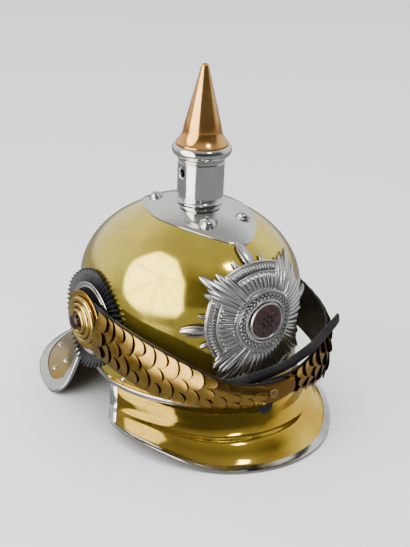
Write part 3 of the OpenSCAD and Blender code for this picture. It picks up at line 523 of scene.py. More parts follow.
def head_unit(s):
    """A domed head on a thin round washer, one unit wide."""
    ball = s.node("GeometryNodeMeshUVSphere", Segments=28, Rings=16, Radius=1.0).outputs["Mesh"]
    x, y, z = s.place()
    high = s.math("ADD", s.math("MULTIPLY", s.math("MAXIMUM", z, 0.0), s.given["Head Height"]),
                  s.given["Washer Height"])
    wide = s.given["Head Width"]
    dome_part = s.moved(ball, s.math("MULTIPLY", x, wide), s.math("MULTIPLY", y, wide), high)
    disc = s.node("GeometryNodeMeshCylinder", Vertices=28, Side_Segments=1,
                  Radius=s.given["Washer Width"], Depth=s.given["Washer Height"])
    raised = s.node("GeometryNodeTransform", Geometry=disc.outputs["Mesh"], Translation=s.node(
        "ShaderNodeCombineXYZ", _2=s.math("MULTIPLY", s.given["Washer Height"], 0.5)).outputs[0])
    both = s.joined(dome_part, raised.outputs[0])
    return s.node("GeometryNodeSetShadeSmooth", _0=both).outputs[0]


def pip_unit(s):
    """A small oval pip with a flat back."""
    ball = s.node("GeometryNodeMeshUVSphere", Segments=10, Rings=6, Radius=1.0).outputs["Mesh"]
    x, y, z = s.place()
    taper = s.math("SUBTRACT", 1.0, s.math("MULTIPLY", s.math("ABSOLUTE", y), s.given["Point"]))
    made = s.moved(ball, s.math("MULTIPLY", x, taper), y, s.math("MAXIMUM", z, -0.15))
    return s.node("GeometryNodeSetShadeSmooth", _0=made).outputs[0]


def scale_unit(lobes):
    """One chin scale: v across from -1 to 1, q from its rear edge to its lobed free edge."""
    def build(s):
        flat = s.node("GeometryNodeMeshGrid", Size_X=2.0, Size_Y=1.0, Vertices_X=49, Vertices_Y=13)
        v, y, _ = s.place()
        # The relief falls to nothing at the lobed free edge and at the sides; the finish paints shade
        # there, as the shadow under each lobe.
        inside = s.math("MULTIPLY", s.math("SUBTRACT", 0.5, y), 12.0)
        across = s.math("MULTIPLY", s.math("SUBTRACT", 1.0, s.math("ABSOLUTE", v)), 16.0)
        shade = s.node("GeometryNodeStoreNamedAttribute", {"data_type": "FLOAT", "domain": "POINT"},
                       Geometry=flat.outputs["Mesh"], Name="relief",
                       Value=s.math("MINIMUM", s.math("MINIMUM", inside, across), 1.0))
        q = s.math("ADD", y, 0.5)
        turned = s.math("MULTIPLY", s.math("ADD", v, 1.0), lobes * pi / 2)
        wave = s.math("ABSOLUTE", s.math("SINE", turned))
        reach = s.math("ADD", s.given["Body"], s.math("MULTIPLY", s.given["Lobe"],
                                                      s.math("POWER", wave, 0.5)))
        along = s.math("MULTIPLY", q, reach)
        falling = s.math("SUBTRACT", 1.0, s.math("MULTIPLY", v, v))
        crown_part = s.math("MULTIPLY", falling, s.given["Crown"])
        swell = s.math("MULTIPLY", s.math("MULTIPLY", wave, s.math("POWER", q, 3.0)), s.given["Swell"])
        lift = s.math("ADD", s.math("ADD", s.given["Seat"], s.math("MULTIPLY", along, s.given["Rise"])),
                      s.math("ADD", crown_part, swell))
        low = s.moved(shade.outputs["Geometry"], v, along, lift)
        raised = s.node("GeometryNodeExtrudeMesh", Mesh=low, Offset=(0, 0, 1),
                        Offset_Scale=s.given["Thickness"], Individual=False)
        back = s.node("GeometryNodeFlipFaces", Mesh=low)
        both = s.joined(raised.outputs["Mesh"], back.outputs[0])
        return s.node("GeometryNodeMergeByDistance", Geometry=both, Distance=0.00001).outputs[0]
    return build


heads = Setting("domed_heads", {"Head Width": 0.0025, "Head Height": 0.0015, "Washer Width": 0.0026,
                                "Washer Height": 0.0003}, head_unit)
pips = Setting("pips", {"Point": 0.3}, pip_unit)
SCALE_SIZES = {"Body": 1.0, "Lobe": 0.72, "Crown": 0.0034, "Rise": 0.00075, "Swell": 0.0006,
               "Seat": 0.00015, "Thickness": 0.0005}
two_lobed = Setting("two_lobed_scales", SCALE_SIZES, scale_unit(2))
three_lobed = Setting("three_lobed_scales", SCALE_SIZES, scale_unit(3))


# Skull

def make_skull():
    azimuths = [360 * j / 144 - 180 for j in range(144)]

    def grid(off):
        rows = [[mix(wall(off, az, edge(az)), wall(off, az, EQUATOR_Z), t) for az in azimuths]
                for t in spread(0, 0.95, 7)]
        return rows + [[dome(off, az, k) for az in azimuths] for k in spread(0, 80, 28)]

    add("skull_shell", [between(grid, 0, -SHEET, True)], skull_brass, "skull_brass", "skull")


make_skull()


# Visor

VISOR_TIP = SKULL_HALF_L + 45
VISOR_HALF_W, VISOR_OVAL, VISOR_LIFT, VISOR_CORNER = 101, 109, 11, 96
RIM_ROOM = 1.4
FRONT_SECTION = [(0, 0), (0.055, 0.075), (0.12, 0.175), (0.155, 0.275), (0.19, 0.375),
                 (0.265, 0.475), (0.35, 0.55), (0.465, 0.6), (0.56, 0.7), (0.65, 0.815), (0.74, 0.91),
                 (0.82, 0.97), (1, 1)]
SIDE_SECTION = [(0, 0), (0.1, 0.1), (0.17, 0.22), (0.19, 0.34), (0.2, 0.46), (0.23, 0.56), (0.29, 0.64),
                (0.42, 0.7), (0.53, 0.77), (0.63, 0.85), (0.72, 0.92), (0.8, 0.965), (1, 1)]
VISOR_ROWS = len(FRONT_SECTION) - 1
FLANGE_H = BAND_W + 1


def curve_value(values, s):
    """A smooth curve through values at whole steps of s."""
    i = max(0, min(int(floor(s)), len(values) - 2))
    t = s - i
    p = [values[max(0, min(len(values) - 1, i + d))] for d in (-1, 0, 1, 2)]
    return tuple(0.5 * (2 * b + (c - a) * t + (2 * a - 5 * b + 4 * c - d) * t * t
                        + (3 * b - a - 3 * c + d) * t ** 3) for a, b, c, d in zip(*p))


def visor_rim(b):
    return Vector((VISOR_HALF_W * sd(b), SKULL_Y - VISOR_TIP + VISOR_OVAL - VISOR_OVAL * cd(b),
                   RIM_ROOM + VISOR_LIFT * smooth((abs(b) - 28) / 44)))


def visor_mid(a, s):
    """The middle of the visor's sheet: a across, s down its section."""
    f = min(1, a * a)
    root = wall(SEAT_GAP + SHEET / 2, a * VISOR_ANGLE, EDGE_Z)
    rim = visor_rim(a * VISOR_CORNER)
    front, side = curve_value(FRONT_SECTION, s), curve_value(SIDE_SECTION, s)
    u, w = mix(front[0], side[0], f), mix(front[1], side[1], f)
    return Vector((mix(root.x, rim.x, u), mix(root.y, rim.y, u), mix(root.z, rim.z, w)))


def visor_at(a, s, off):
    return lifted(visor_mid, a, s, off, dt=0.12, t_high=VISOR_ROWS)


def make_visor():
    shares = spread(-1, 1, 112)

    def grid(off):
        rows = [[visor_at(a, s, off) for a in shares] for s in spread(VISOR_ROWS, 0, 48)]
        return rows + [[wall(SEAT_GAP + SHEET / 2 + off, a * VISOR_ANGLE, EDGE_Z + FLANGE_H)
                        for a in shares]]

    add("visor_sheet", [between(grid, SHEET / 2, -SHEET / 2)], visor_brass, "skull_brass",
        "front_visor", sharp=50)


make_visor()


def fold(width, gap, face=0.0):
    """Section of a strip folded over an edge: how far in from the edge, and how far out."""
    near, far, past = SHEET / 2 + gap, SHEET / 2 + gap + STRIP, gap + STRIP
    lip = [(-past * cd(g), far * sd(g)) for g in spread(70, -70, 8)]
    return ([(width, near), (width, far - 0.25), (width - 0.3, far), (width * 0.5, far + face),
             (past, far)]
            + lip + [(width / 3, -far), (width / 3, -near), (-gap, -near), (-gap, near)])


VISOR_TRIM_W = 8
VISOR_SIDE_IN = 1 / 135


def visor_edge(m):
    """The visor's free edge, inset by m: down one side, along the rim and up the other."""
    last, end, turn = 1 - m * VISOR_SIDE_IN, VISOR_ROWS - m / 9, VISOR_ROWS - 1 - m / 18
    side = spread(0, turn, 24)
    return ([(-last, s) for s in side] + [(last * a, end) for a in spread(-1, 1, 112)]
            + [(last, s) for s in side[::-1]])


def above_ground(sections):
    return [[Vector((p.x, p.y, max(p.z, 0.0))) for p in section] for section in sections]


def folded_trim(name, at, path, width, gap, node):
    """A strip folded over the free edge of a sheet."""
    tracks = [[at(a, t, off) for a, t in path(m)] for m, off in fold(width, gap, 0.1)]
    sections = above_ground([list(row) for row in zip(*tracks)])
    add(name, [swept(sections)], trim_silver, "trim_silver", node)


folded_trim("visor_trim_strip", visor_at, visor_edge, VISOR_TRIM_W, SEAT_GAP, "visor_trim")


# Neck guard

NECK_TIP = SKULL_HALF_L + 57
NECK_HALF_W, NECK_OVAL, NECK_CORNER, NECK_ROUND = 107, 122, 90, 10
NECK_SQUARE, FLARE_GAP, NECK_LEN, NECK_ARC = 0.6, 0.45, 66, 150
NECK_TRIM_W = 9
ROUND_SHARE = NECK_ROUND / NECK_CORNER


def neck_mid(a, t):
    root = wall(SEAT_GAP + SHEET / 2, 180 + a * NECK_ANGLE, edge(180 - a * NECK_ANGLE))
    b = a * NECK_CORNER
    rim = Vector((-NECK_HALF_W * sd(b), SKULL_Y + NECK_TIP - NECK_OVAL + NECK_OVAL * cd(b), RIM_ROOM))
    u = max(t, 0) ** 1.45
    return Vector((mix(root.x, rim.x, u), mix(root.y, rim.y, u), mix(root.z, rim.z, t)))


def neck_at(a, t, off):
    return lifted(neck_mid, a, t, off)


def neck_limit(t):
    """How far across the neck guard reaches at t down it, with its front corners round."""
    q = max(0, (t - NECK_SQUARE) / (1 - NECK_SQUARE))
    return 1 - ROUND_SHARE * (1 - sqrt(max(0, 1 - q * q)))


def make_neck_guard():
    shares = spread(-1, 1, 96)
    steps = ([NECK_SQUARE * i / 12 for i in range(12)]
             + [NECK_SQUARE + (1 - NECK_SQUARE) * sd(g) for g in spread(0, 90, 16)])

    def grid(off):
        rows = [[neck_at(s * neck_limit(t), t, off) for s in shares] for t in steps[::-1]]
        return above_ground(rows + [[wall(SEAT_GAP + SHEET / 2 + off, 180 + s * NECK_ANGLE,
                                          edge(180 - s * NECK_ANGLE) + FLANGE_H) for s in shares]])

    add("neck_guard_sheet", [between(grid, SHEET / 2, -SHEET / 2)], visor_brass, "skull_brass",
        "neck_guard", sharp=50)


make_neck_guard()


def neck_edge(m):
    """The neck guard's free edge, inset by m: down a front, round its corner and along the rim."""
    side, end = 1 - m / NECK_ARC, 1 - m / NECK_LEN
    half = ([(side, NECK_SQUARE * i / 14) for i in range(14)]
            + [(side - ROUND_SHARE * (1 - cd(g)), NECK_SQUARE + (end - NECK_SQUARE) * sd(g))
               for g in spread(0, 90, 18)])
    inner = side - ROUND_SHARE
    return ([(-a, t) for a, t in half] + [(inner * a, end) for a in spread(-1, 1, 96)[1:-1]]
            + half[::-1])


folded_trim("neck_guard_trim_strip", neck_at, neck_edge, NECK_TRIM_W, FLARE_GAP, "neck_guard_trim")

BAND_OFF = 2 * SEAT_GAP + SHEET


def joint_band(name, azimuths, node):
    """A strip with rounded edges over a joint of the skull."""
    def section(az):
        z = edge(az) + 0.4
        h = BAND_W - 0.4
        face = [(0, 0), (STRIP * 0.7, 0.05), (STRIP, 0.5), (STRIP * 1.05, h / 2), (STRIP, h - 0.5),
                (STRIP * 0.7, h - 0.05), (0, h)]
        return [wall(BAND_OFF + out, az, z + up) for out, up in face]

    add(name, [swept([section(az) for az in azimuths])], trim_silver, "trim_silver", node)


joint_band("visor_joint_strip", spread(-VISOR_ANGLE, VISOR_ANGLE, 96), "visor_joint_band")
joint_band("neck_joint_strip", spread(180 - NECK_ANGLE, 180 + NECK_ANGLE, 84), "neck_joint_band")


def make_ear_trims():
    solids = []
    near, far = SEAT_GAP, SEAT_GAP + STRIP
    for side in (RIGHT, LEFT):
        sections = []
        for w in spread(VISOR_ANGLE + 1, 180 - NECK_ANGLE - 1, 18):
            az = side * w
            z = edge(az)
            outline = [(near, BAND_W), (far, BAND_W), (far, 0.2), (far - 0.2, -far * 0.7),
                       (far - 0.7, -far), (-SHEET - far + 0.7, -far),
                       (-SHEET - far + 0.2, -far * 0.7), (-SHEET - far, 0.2),
                       (-SHEET - far, BAND_W / 2), (-SHEET - near, BAND_W / 2),
                       (-SHEET - near, -near), (near, -near)]
            sections.append([wall(out, az, z + up) for out, up in outline])
        solids.append(swept(sections))
    add("ear_edge_strips", solids, trim_silver, "trim_silver", "ear_trims")


make_ear_trims()

RIVET_D = 5


def make_rivets():
    """Domed rivet heads round the skull's front and on the neck guard."""
    skull = [(wall(0.05, az, EDGE_Z + FLANGE_H + RIVET_D / 2 + 0.6), wall_normal(az), UPWARD, UNIT)
             for az in (-73, -38, 0, 38, 73)]
    heads.add("skull_rivet_heads", skull, trim_silver, "trim_silver", "skull_rivets",
              Head_Width=0.0024, Head_Height=0.0013, Washer_Width=0.0025, Washer_Height=0.0003)
    spots = [(side * a, t) for a, t in ((0.9, 0.12), (0.8, 0.52), (0.77, 0.76), (0.47, 0.74))
             for side in (RIGHT, LEFT)] + [(0.0, 0.12)]
    points = []
    for a, t in spots:
        low = neck_at(a, t, SHEET / 2 + 0.1)
        points.append((low, (neck_at(a, t, SHEET / 2 + 1) - low).normalized(), UPWARD, UNIT))
    heads.add("neck_guard_rivet_heads", points, trim_silver, "trim_silver", "neck_guard_rivets",
              Head_Width=0.0026, Head_Height=0.0014, Washer_Width=0.0032, Washer_Height=0.0005)


make_rivets()


# Base plate, studs, collar and spike

PLATE_HALF_W, PLATE_POINT, PLATE_T, PLATE_GAP, PLATE_POWER = 43, 70, 1.2, 0.35, 1.65
PLATE_TOP = PLATE_GAP + PLATE_T
STUD_RING, STUD_ANGLE = 43, 25


def make_base_plate():
    turns = [360 * j / 192 for j in range(192)]

    def reach(b):
        return ((abs(sd(b)) / PLATE_HALF_W) ** PLATE_POWER
                + (abs(cd(b)) / PLATE_POINT) ** PLATE_POWER) ** (-1 / PLATE_POWER)

    def grid(levels):
        return [[crown(off, reach(b) * q * sd(b), -reach(b) * q * cd(b)) for b in turns]
                for q, off in levels]

    shares = [1, 0.985, 0.96, 0.9, 0.8, 0.7, 0.6, 0.5, 0.4, 0.28]
    top = [(q, PLATE_TOP - (0.45 if i == 0 else 0.12 if i == 1 else 0)) for i, q in enumerate(shares)]
    bottom = [(q, PLATE_GAP) for q in shares]
    add("base_plate_sheet", [between(grid, top, bottom, True)], fitting_silver, "fitting_silver",
        "base_plate")


make_base_plate()


def make_dome_studs():
    points = []
    for g in (STUD_ANGLE, 180 - STUD_ANGLE, 180 + STUD_ANGLE, -STUD_ANGLE):
        x, v = STUD_RING * sd(g), -STUD_RING * cd(g)
        out = crown_normal(x, v)
        points.append((crown(0, x, v) + out * (PLATE_TOP + 0.05), out, LEFTWARD, UNIT))
    heads.add("dome_stud_heads", points, fitting_silver, "fitting_silver", "dome_studs",
              Head_Width=0.0055, Head_Height=0.0037, Washer_Width=0.0067, Washer_Height=0.0009)


make_dome_studs()

COLLAR_D, COLLAR_H, COLLAR_WALL, BEAD_D, BEAD_T = 40, 30, 1.6, 51, 11
FOOT_H, GROOVE_H, COVE_H = 5.2, 1, 5
COLLAR_R, BEAD_R = COLLAR_D / 2, BEAD_T / 2
COLLAR_SEAT = crown(PLATE_TOP + SEAT_GAP, 0, COLLAR_R).z + 0.1
BEAD_MID = FOOT_H + GROOVE_H + COLLAR_H + COVE_H + BEAD_R
CONE_SEAT = BEAD_MID + 0.82 * BEAD_R
CONE_H, CONE_D, TIP_D, STEM_D, STEM_H = 69, 45, 7, 12, 14
VENT_D = 8


def on_spike(base):
    return lambda x, y, h: Vector((x, SPIKE_Y + y, base + h))


VENTS_UP = 0.72


def make_collar():
    """The turned collar with its foot, groove, vents and bead."""
    base, top = FOOT_H + GROOVE_H, FOOT_H + GROOVE_H + COLLAR_H
    arm, inner, bridge = BEAD_D / 2 - BEAD_R, COLLAR_R - COLLAR_WALL - 1, CONE_SEAT - 3
    hole = STEM_D / 2 + 0.2
    r = COLLAR_R
    profile = ([(inner, 0), (r - 0.7, 0), (r - 0.2, 0.5), (r - 0.2, 1.8), (r - 0.8, 2.4)]
               + [(r - 0.8 - 0.7 * sd(g), 2.4 + 2.3 * g / 180) for g in spread(0, 180, 8)][1:]
               + [(r - 1, FOOT_H - 0.2), (r - 2, FOOT_H), (r - 2, base), (r - 0.4, base),
                  (r, base + 0.4)]
               + [(r, base + 0.5 * COLLAR_H), (r, top - 0.3), (r - 0.3, top), (r - 0.8, top + 0.3)]
               + [(r - 0.4, top + 0.7), (r + 0.1, top + 1.2), (r + 0.3, top + 2.2),
                  (r + 0.1, top + 3.2), (r - 0.5, top + 3.7), (r - 1, top + COVE_H - 0.4)]
               + [(arm + BEAD_R * cd(g), BEAD_MID + BEAD_R * sd(g)) for g in spread(-80, 55, 20)]
               + [(arm, CONE_SEAT), (hole, CONE_SEAT), (hole, bridge), (inner, bridge)])
    piece = make_piece("spike_collar_shell", [lathe(profile, on_spike(COLLAR_SEAT), 128)],
                       fitting_silver, 32)
    vent_z, reach = COLLAR_SEAT + base + VENTS_UP * COLLAR_H, 2 * COLLAR_R
    bit = [(0, -reach), (VENT_D / 2, -reach), (VENT_D / 2, reach), (0, reach)]

    def in_vent(x, y, h):
        return Vector((h, SPIKE_Y + y, vent_z + x))

    drill = make_piece("vent_drill", [lathe(bit, in_vent, 40)], fitting_silver)
    cut = piece.modifiers.new("vents", "BOOLEAN")
    cut.object, cut.operation, cut.solver = drill, "DIFFERENCE", "EXACT"
    make_plain(piece)
    bpy.data.objects.remove(drill)
    keep(piece, "helmet", "fitting_silver", "spike_collar")


make_collar()


def make_cone():
    """The spike: a flared foot that runs into a straight cone with a round tip."""
    base_r, tip_r, flare = CONE_D / 2, TIP_D / 2, 12
    neck = 0.73 * base_r
    shank = [(neck + (base_r - neck) * (1 - t) ** 2, 1.4 + flare * t) for t in spread(0, 1, 16)]
    profile = ([(0, 0), (base_r - 0.4, 0), (base_r, 0.3), (base_r, 1.1)] + shank
               + [(mix(neck, tip_r, t), mix(1.4 + flare, CONE_H - tip_r, t))
                  for t in spread(0, 1, 6)[1:-1]]
               + [(tip_r * cd(g), CONE_H - tip_r + tip_r * sd(g)) for g in spread(6, 84, 9)]
               + [(0, CONE_H)])
    stem = [(0, -STEM_H), (STEM_D / 2 - 0.8, -STEM_H), (STEM_D / 2, -STEM_H + 0.8), (STEM_D / 2, 0.5),
            (0, 0.5)]
    place = on_spike(COLLAR_SEAT + CONE_SEAT + SEAT_GAP)
    add("spike_cone_shell", [lathe(profile, place, 128), lathe(stem, place, 48)], spike_copper,
        "spike_copper", "spike_cone", body="spike", sharp=30)


make_cone()


# Star plate

STAR_TURN, STAR_RISE = 6, 4
STAR_R, STAR_BODY_R, STAR_T, STAR_GAP, FLUTE = 71, 52.5, 1, 2, 0.5
STAR_TOP = STAR_GAP + STAR_T + FLUTE
RING_R, RING_W, ROUNDEL_R = 27, 9, 15
WRAP_ACROSS, WRAP_UP = 94, 82


def star_at(off, u, w):
    """The star's surface: across and up from its middle, moved out by off."""
    h = w + STAR_RISE
    k = degrees(h / WRAP_UP) if h > 0 else 0
    az = degrees(u / (WRAP_ACROSS * cd(k)))
    p = dome(off, az, k)
    return p if h > 0 else Vector((p.x, p.y, EQUATOR_Z + h))


def star_polar(off, r, g):
    return star_at(off, r * sd(g), r * cd(g))


def star_normal(r, g):
    p = star_polar(0, r, g)
    outwards, aside = star_polar(0, r + 0.5, g) - p, star_polar(0, r + 0.01, g - 1.0) - p
    return outwards.cross(aside).normalized()


BAND_FIRST, BAND_LAST = 0.8 * STAR_BODY_R, 0.98 * STAR_BODY_R
BAND_MIDDLES, BAND_ARC = (-2, -93), 60
SINGLE_RAYS = [90 * i - STAR_TURN for i in range(4)]
BUNDLES = [90 * i + 45 - STAR_TURN for i in range(4)]
RIB = 60 / 9


def banded(g):
    """Whether the star's band covers this angle."""
    return any(abs((g - middle + 180) % 360 - 180) < BAND_ARC / 2 for middle in BAND_MIDDLES)


def fluting(r, g):
    """Ribs that fan out from the middle of each quarter: how bright each is, which paints shade in the
    flutes between them, and how high.
    """
    from_middle = (g + STAR_TURN + 45) % 90 - 45
    rib = abs(cd(180 * from_middle / RIB)) ** 0.45
    stop = BAND_FIRST if banded(g) else STAR_BODY_R - 2.2
    shown = smooth((r - RING_R) / 3) * (1 - smooth((r - stop + 2.5) / 2.5))
    return mix(1.0, rib ** 1.6, shown), (0.1 + 1.2 * rib) * shown


def make_star_body():
    radii = ([6] + spread(18, RING_R, 2) + spread(28, STAR_BODY_R - 1, 18)
             + [STAR_BODY_R - 0.3, STAR_BODY_R])
    turns = [360 * j / 540 for j in range(540)]
    top, bottom, relief = [], [], []
    for r in radii[::-1]:
        row, back = [], []
        for g in turns:
            rib, rise = fluting(r, -g)
            in_quarter = (STAR_TURN + 45 - g) % 90 - 45
            edge_in = 0 if banded(-g) else 0.9 * (1 - abs(cd(180 * in_quarter / RIB)))
            near = r - edge_in * smooth((r - STAR_BODY_R + 4) / 4)
            height = STAR_GAP + STAR_T + rise - (0.5 if r == radii[-1] else 0)
            row.append(star_polar(height, near, -g))
            back.append(star_polar(STAR_GAP, near, -g))
            # The ribs' brightness is kept as the relief that paints shade in the flutes.
            relief.append(rib)
        top.append(row)
        bottom.append(back)
    return sheet(top, bottom, True), relief + [0.2] * len(relief)


def leaf(g0, first, last, half_w, lift, ridge, widest, root, groove_at, groove_deep):
    """One leaf-shaped ray: a pointed oval with a raised border, two grooves and a middle ridge."""
    top, bottom, relief = [], [], []
    for q in spread(0, 1, 22):
        r = mix(first, last, q)
        width = half_w * mix(root, 1, smooth(q / widest)) * sqrt(
            max(0.0, 1 - max(0.0, (q - widest) / (1 - widest)) ** 2.1))
        width = max(width, 0.3)
        row, back = [], []
        for v in spread(-1, 1, 16):
            groove = exp(-((abs(v) - groove_at) / 0.16) ** 2)
            spine = exp(-(v / 0.2) ** 2)
            rise = (lift + ridge * (1 - abs(v) ** 2.5) * (0.5 + 0.5 * sd(180 * q))
                    - groove_deep * groove + 0.3 * spine)
            g = g0 + degrees(v * width / r)
            row.append(star_polar(rise, r, g))
            back.append(star_polar(STAR_GAP + 0.1, r, g))
            # Relief for painted shade: dark in the two grooves and along the leaf's edge.
            relief.append(0.2 if abs(v) > 0.99 else 1 - groove)
        top.append(row)
        bottom.append(back)
    return sheet(top, bottom), relief + [0.2] * len(relief)


def make_star():
    solids, relief = [], []
    low = STAR_GAP + STAR_T
    parts = [make_star_body()]
    for g in SINGLE_RAYS:
        parts.append(leaf(g, 49, STAR_R + 0.3, 5.4, low - 0.5, ridge=1.3, widest=0.42, root=0.7,
                          groove_at=0.66, groove_deep=0.5))
        for turn in (-14, 14):
            parts.append(leaf(g + turn, 50, 58.3, 2.2, low - 0.5, ridge=0.7, widest=0.4, root=0.8,
                              groove_at=0.5, groove_deep=0.2))
    layers = ((15, 52.5, 2.6, 0.3), (5.4, 57, 2.7, 0.5), (10.6, 58, 3.4, 0.7))
    for g in BUNDLES:
        for turn, last, half_w, lift in layers:
            for side in (RIGHT, LEFT):
                parts.append(leaf(g + side * turn, RING_R + 0.5, last, half_w, low + lift, ridge=0.9,
                                  widest=0.66, root=0.36, groove_at=0.8, groove_deep=0.35))
        parts.append(leaf(g, RING_R + 0.5, 0.93 * STAR_R, 4.6, low + 1.0, ridge=1.3, widest=0.62,
                          root=0.34, groove_at=0.82, groove_deep=0.45))
    for solid, depth in parts:
        solids.append(solid)
        relief += depth
    add("star_rays_and_body", solids, star_silver, "star_silver", "star_plate", sharp=60, relief=relief)


make_star()


def star_hoop(first, last, low, high, first_g=0.0, last_g=360.0):
    """A flat raised hoop on the star with rounded edges, whole or a piece of one."""
    whole = last_g - first_g >= 360
    outline = [(first, low), (first, high - 0.25), (first + 0.3, high), (last - 0.3, high),
               (last, high - 0.25), (last, low)]
    turns = spread(first_g, last_g, int((last_g - first_g) / 2.5))[:-1 if whole else None]
    return swept([[star_polar(off, r, g) for r, off in outline] for g in turns], whole)


def star_marks(angles, r, off, size, turn):
    """Points for pips round the star at one radius: each turned from the radius by an angle."""
    points = []
    for g in angles:
        p = star_polar(off, r, g)
        outward = star_normal(r, g)
        radial = (star_polar(off, r + 0.5, g) - p).normalized()
        across = Matrix.Rotation(radians(turn), 3, outward) @ outward.cross(radial)
        points.append((p, outward, across, Vector(size) * MM))
    return points


BAND_BAR, BAND_PIP, RING_BEAD = (0.42, 2.6, 0.5), (0.5, 0.5, 0.45), (0.55, 0.55, 0.5)
OUTER_LEAF, INNER_LEAF, LEAF_TURN = (0.7, 1.6, 0.7), (0.65, 1.45, 0.7), 52


def make_star_rings():
    """The star's outer band with its bars and pips, and its inner ring with leaves and beads."""
    low, floor_at = STAR_GAP + STAR_T - 0.2, STAR_GAP + STAR_T + 0.85
    floors, borders, marks = [], [], []
    for middle in BAND_MIDDLES:
        ends = (middle - BAND_ARC / 2, middle + BAND_ARC / 2)
        floors.append(star_hoop(BAND_FIRST, BAND_LAST, low, floor_at, *ends))
        borders += [star_hoop(BAND_FIRST, BAND_FIRST + 1.1, low, floor_at + 0.6, *ends),
                    star_hoop(BAND_LAST - 1.1, BAND_LAST, low, floor_at + 0.6, *ends)]
        for i, g in enumerate(spread(middle - 28, middle + 28, 32)):
            size = (BAND_BAR, BAND_PIP)[i % 2]
            marks += star_marks([g], (BAND_FIRST + BAND_LAST) / 2, floor_at, size, 0)
    # The band's floor gets a low relief, so it is painted partly dark as shade below its borders and
    # bars.
    count = sum(len(points) for points, _ in floors)
    add("star_band_floor", floors, star_silver, "star_silver", "star_outer_band", sharp=50,
        relief=[0.24] * count)
    add("star_band_borders", borders, star_bright, "star_silver", sharp=50)
    pips.add("star_band_bars", marks, star_bright, "star_silver", Point=0.15)
    top = STAR_TOP + 1.2
    # The ring's floor likewise gets a low relief, painted partly dark as shade below its hoops and
    # leaves.
    ring_floor = star_hoop(RING_R - RING_W, RING_R, STAR_GAP + 0.4, top)
    add("star_ring_floor", [ring_floor], star_silver, "star_silver", "star_ring", sharp=50,
        relief=[0.22] * len(ring_floor[0]))
    hoops = [star_hoop(RING_R - 1.2, RING_R, top - 0.5, top + 0.8),
             star_hoop(RING_R - 2.3, RING_R - 1.8, top - 0.5, top + 0.4),
             star_hoop(RING_R - RING_W, RING_R - RING_W + 1.4, top - 0.5, top + 0.7)]
    add("star_ring_hoops", hoops, star_bright, "star_silver", sharp=50)
    middle = RING_R - RING_W / 2 - 0.4
    leaves = (star_marks(range(0, 360, 10), middle + 1.1, top, OUTER_LEAF, LEAF_TURN)
              + star_marks(range(5, 365, 10), middle - 1.2, top, INNER_LEAF, -LEAF_TURN))
    pips.add("star_ring_leaves", leaves, star_bright, "star_silver", Point=0.55)
    beads = star_marks(range(0, 360, 6), RING_R - RING_W + 0.6, top + 0.7, RING_BEAD, 0)
    pips.add("star_ring_beads", beads, star_bright, "star_silver", Point=0.0)


make_star_rings()


def make_roundel():
    """A dark domed disc in a rim, with a plain rosette of eight petals."""
    centre = wall(STAR_TOP + 0.5, 0, EQUATOR_Z + STAR_RISE)

    def place(x, y, h):
        return centre + Vector((x, -h, y))

    disc = [(0, 0), (ROUNDEL_R, 0), (ROUNDEL_R, 1.1)] + [
        (ROUNDEL_R * 0.985 * cd(g), 1.3 + 1.5 * sd(g)) for g in spread(0, 84, 12)] + [(0, 2.8)]
    add("star_roundel_disc", [lathe(disc, place, 72)], enamel, "enamel", "star_roundel")
    rim = [(ROUNDEL_R + 1.2, -0.5), (ROUNDEL_R + 1.2, 1.6), (ROUNDEL_R + 0.9, 2.0),
           (ROUNDEL_R + 0.2, 2.0), (ROUNDEL_R - 0.3, 1.5), (ROUNDEL_R - 0.3, -0.5)]
    add("star_roundel_rim", [lathe(rim + rim[:1], place, 72)], star_bright, "star_silver")
    petals = []
    for i in range(8):
        for r, size in ((5.2, (1.3, 2.6, 0.8)), (10.4, (0.8, 1.5, 0.6))):
            g = 45 * i + (22.5 if r > 8 else 0)
            height = 1.3 + 1.5 * sqrt(1 - (r / ROUNDEL_R) ** 2)
            petals.append((place(r * sd(g), r * cd(g), height), FORWARD, Vector((cd(g), 0, -sd(g))),
                           Vector(size) * MM))
    petals.append((place(0, 0, 2.8), FORWARD, LEFTWARD, Vector((1.9, 1.9, 1.1)) * MM))
    pips.add("roundel_rosette", petals, dark_screw, "enamel", Point=0.4)


make_roundel()


# Cockades, bosses and screws

PIVOT = Vector((101.5, SKULL_Y + 9.5, 92.5))
PIVOT_D = 6
COCKADE_D, COCKADE_GAP, COCKADE_T, COCKADE_FLARE, PLEATS = 86, 0.8, 3, 8, 56
RING_T = 1


def skull_x(y, z):
    s = max(0, (z - EQUATOR_Z) / DOME_RISE)
    c = (y - SKULL_Y + DOME_LEAN * s) / SKULL_HALF_L
    return SKULL_HALF_W * sqrt(1 - s * s - c * c)


def on_side(side, r, g, off):
    """A point beside the skull, round a pivot, lying on the skull and flared at the bottom."""
    y, z = PIVOT.y - r * cd(g), PIVOT.z + r * sd(g)
    flare = COCKADE_FLARE * (max(0, -r * sd(g) - 18) / 24) ** 2
    return Vector((side * (skull_x(min(y, PIVOT.y), z) + COCKADE_GAP + off + flare), y, z))


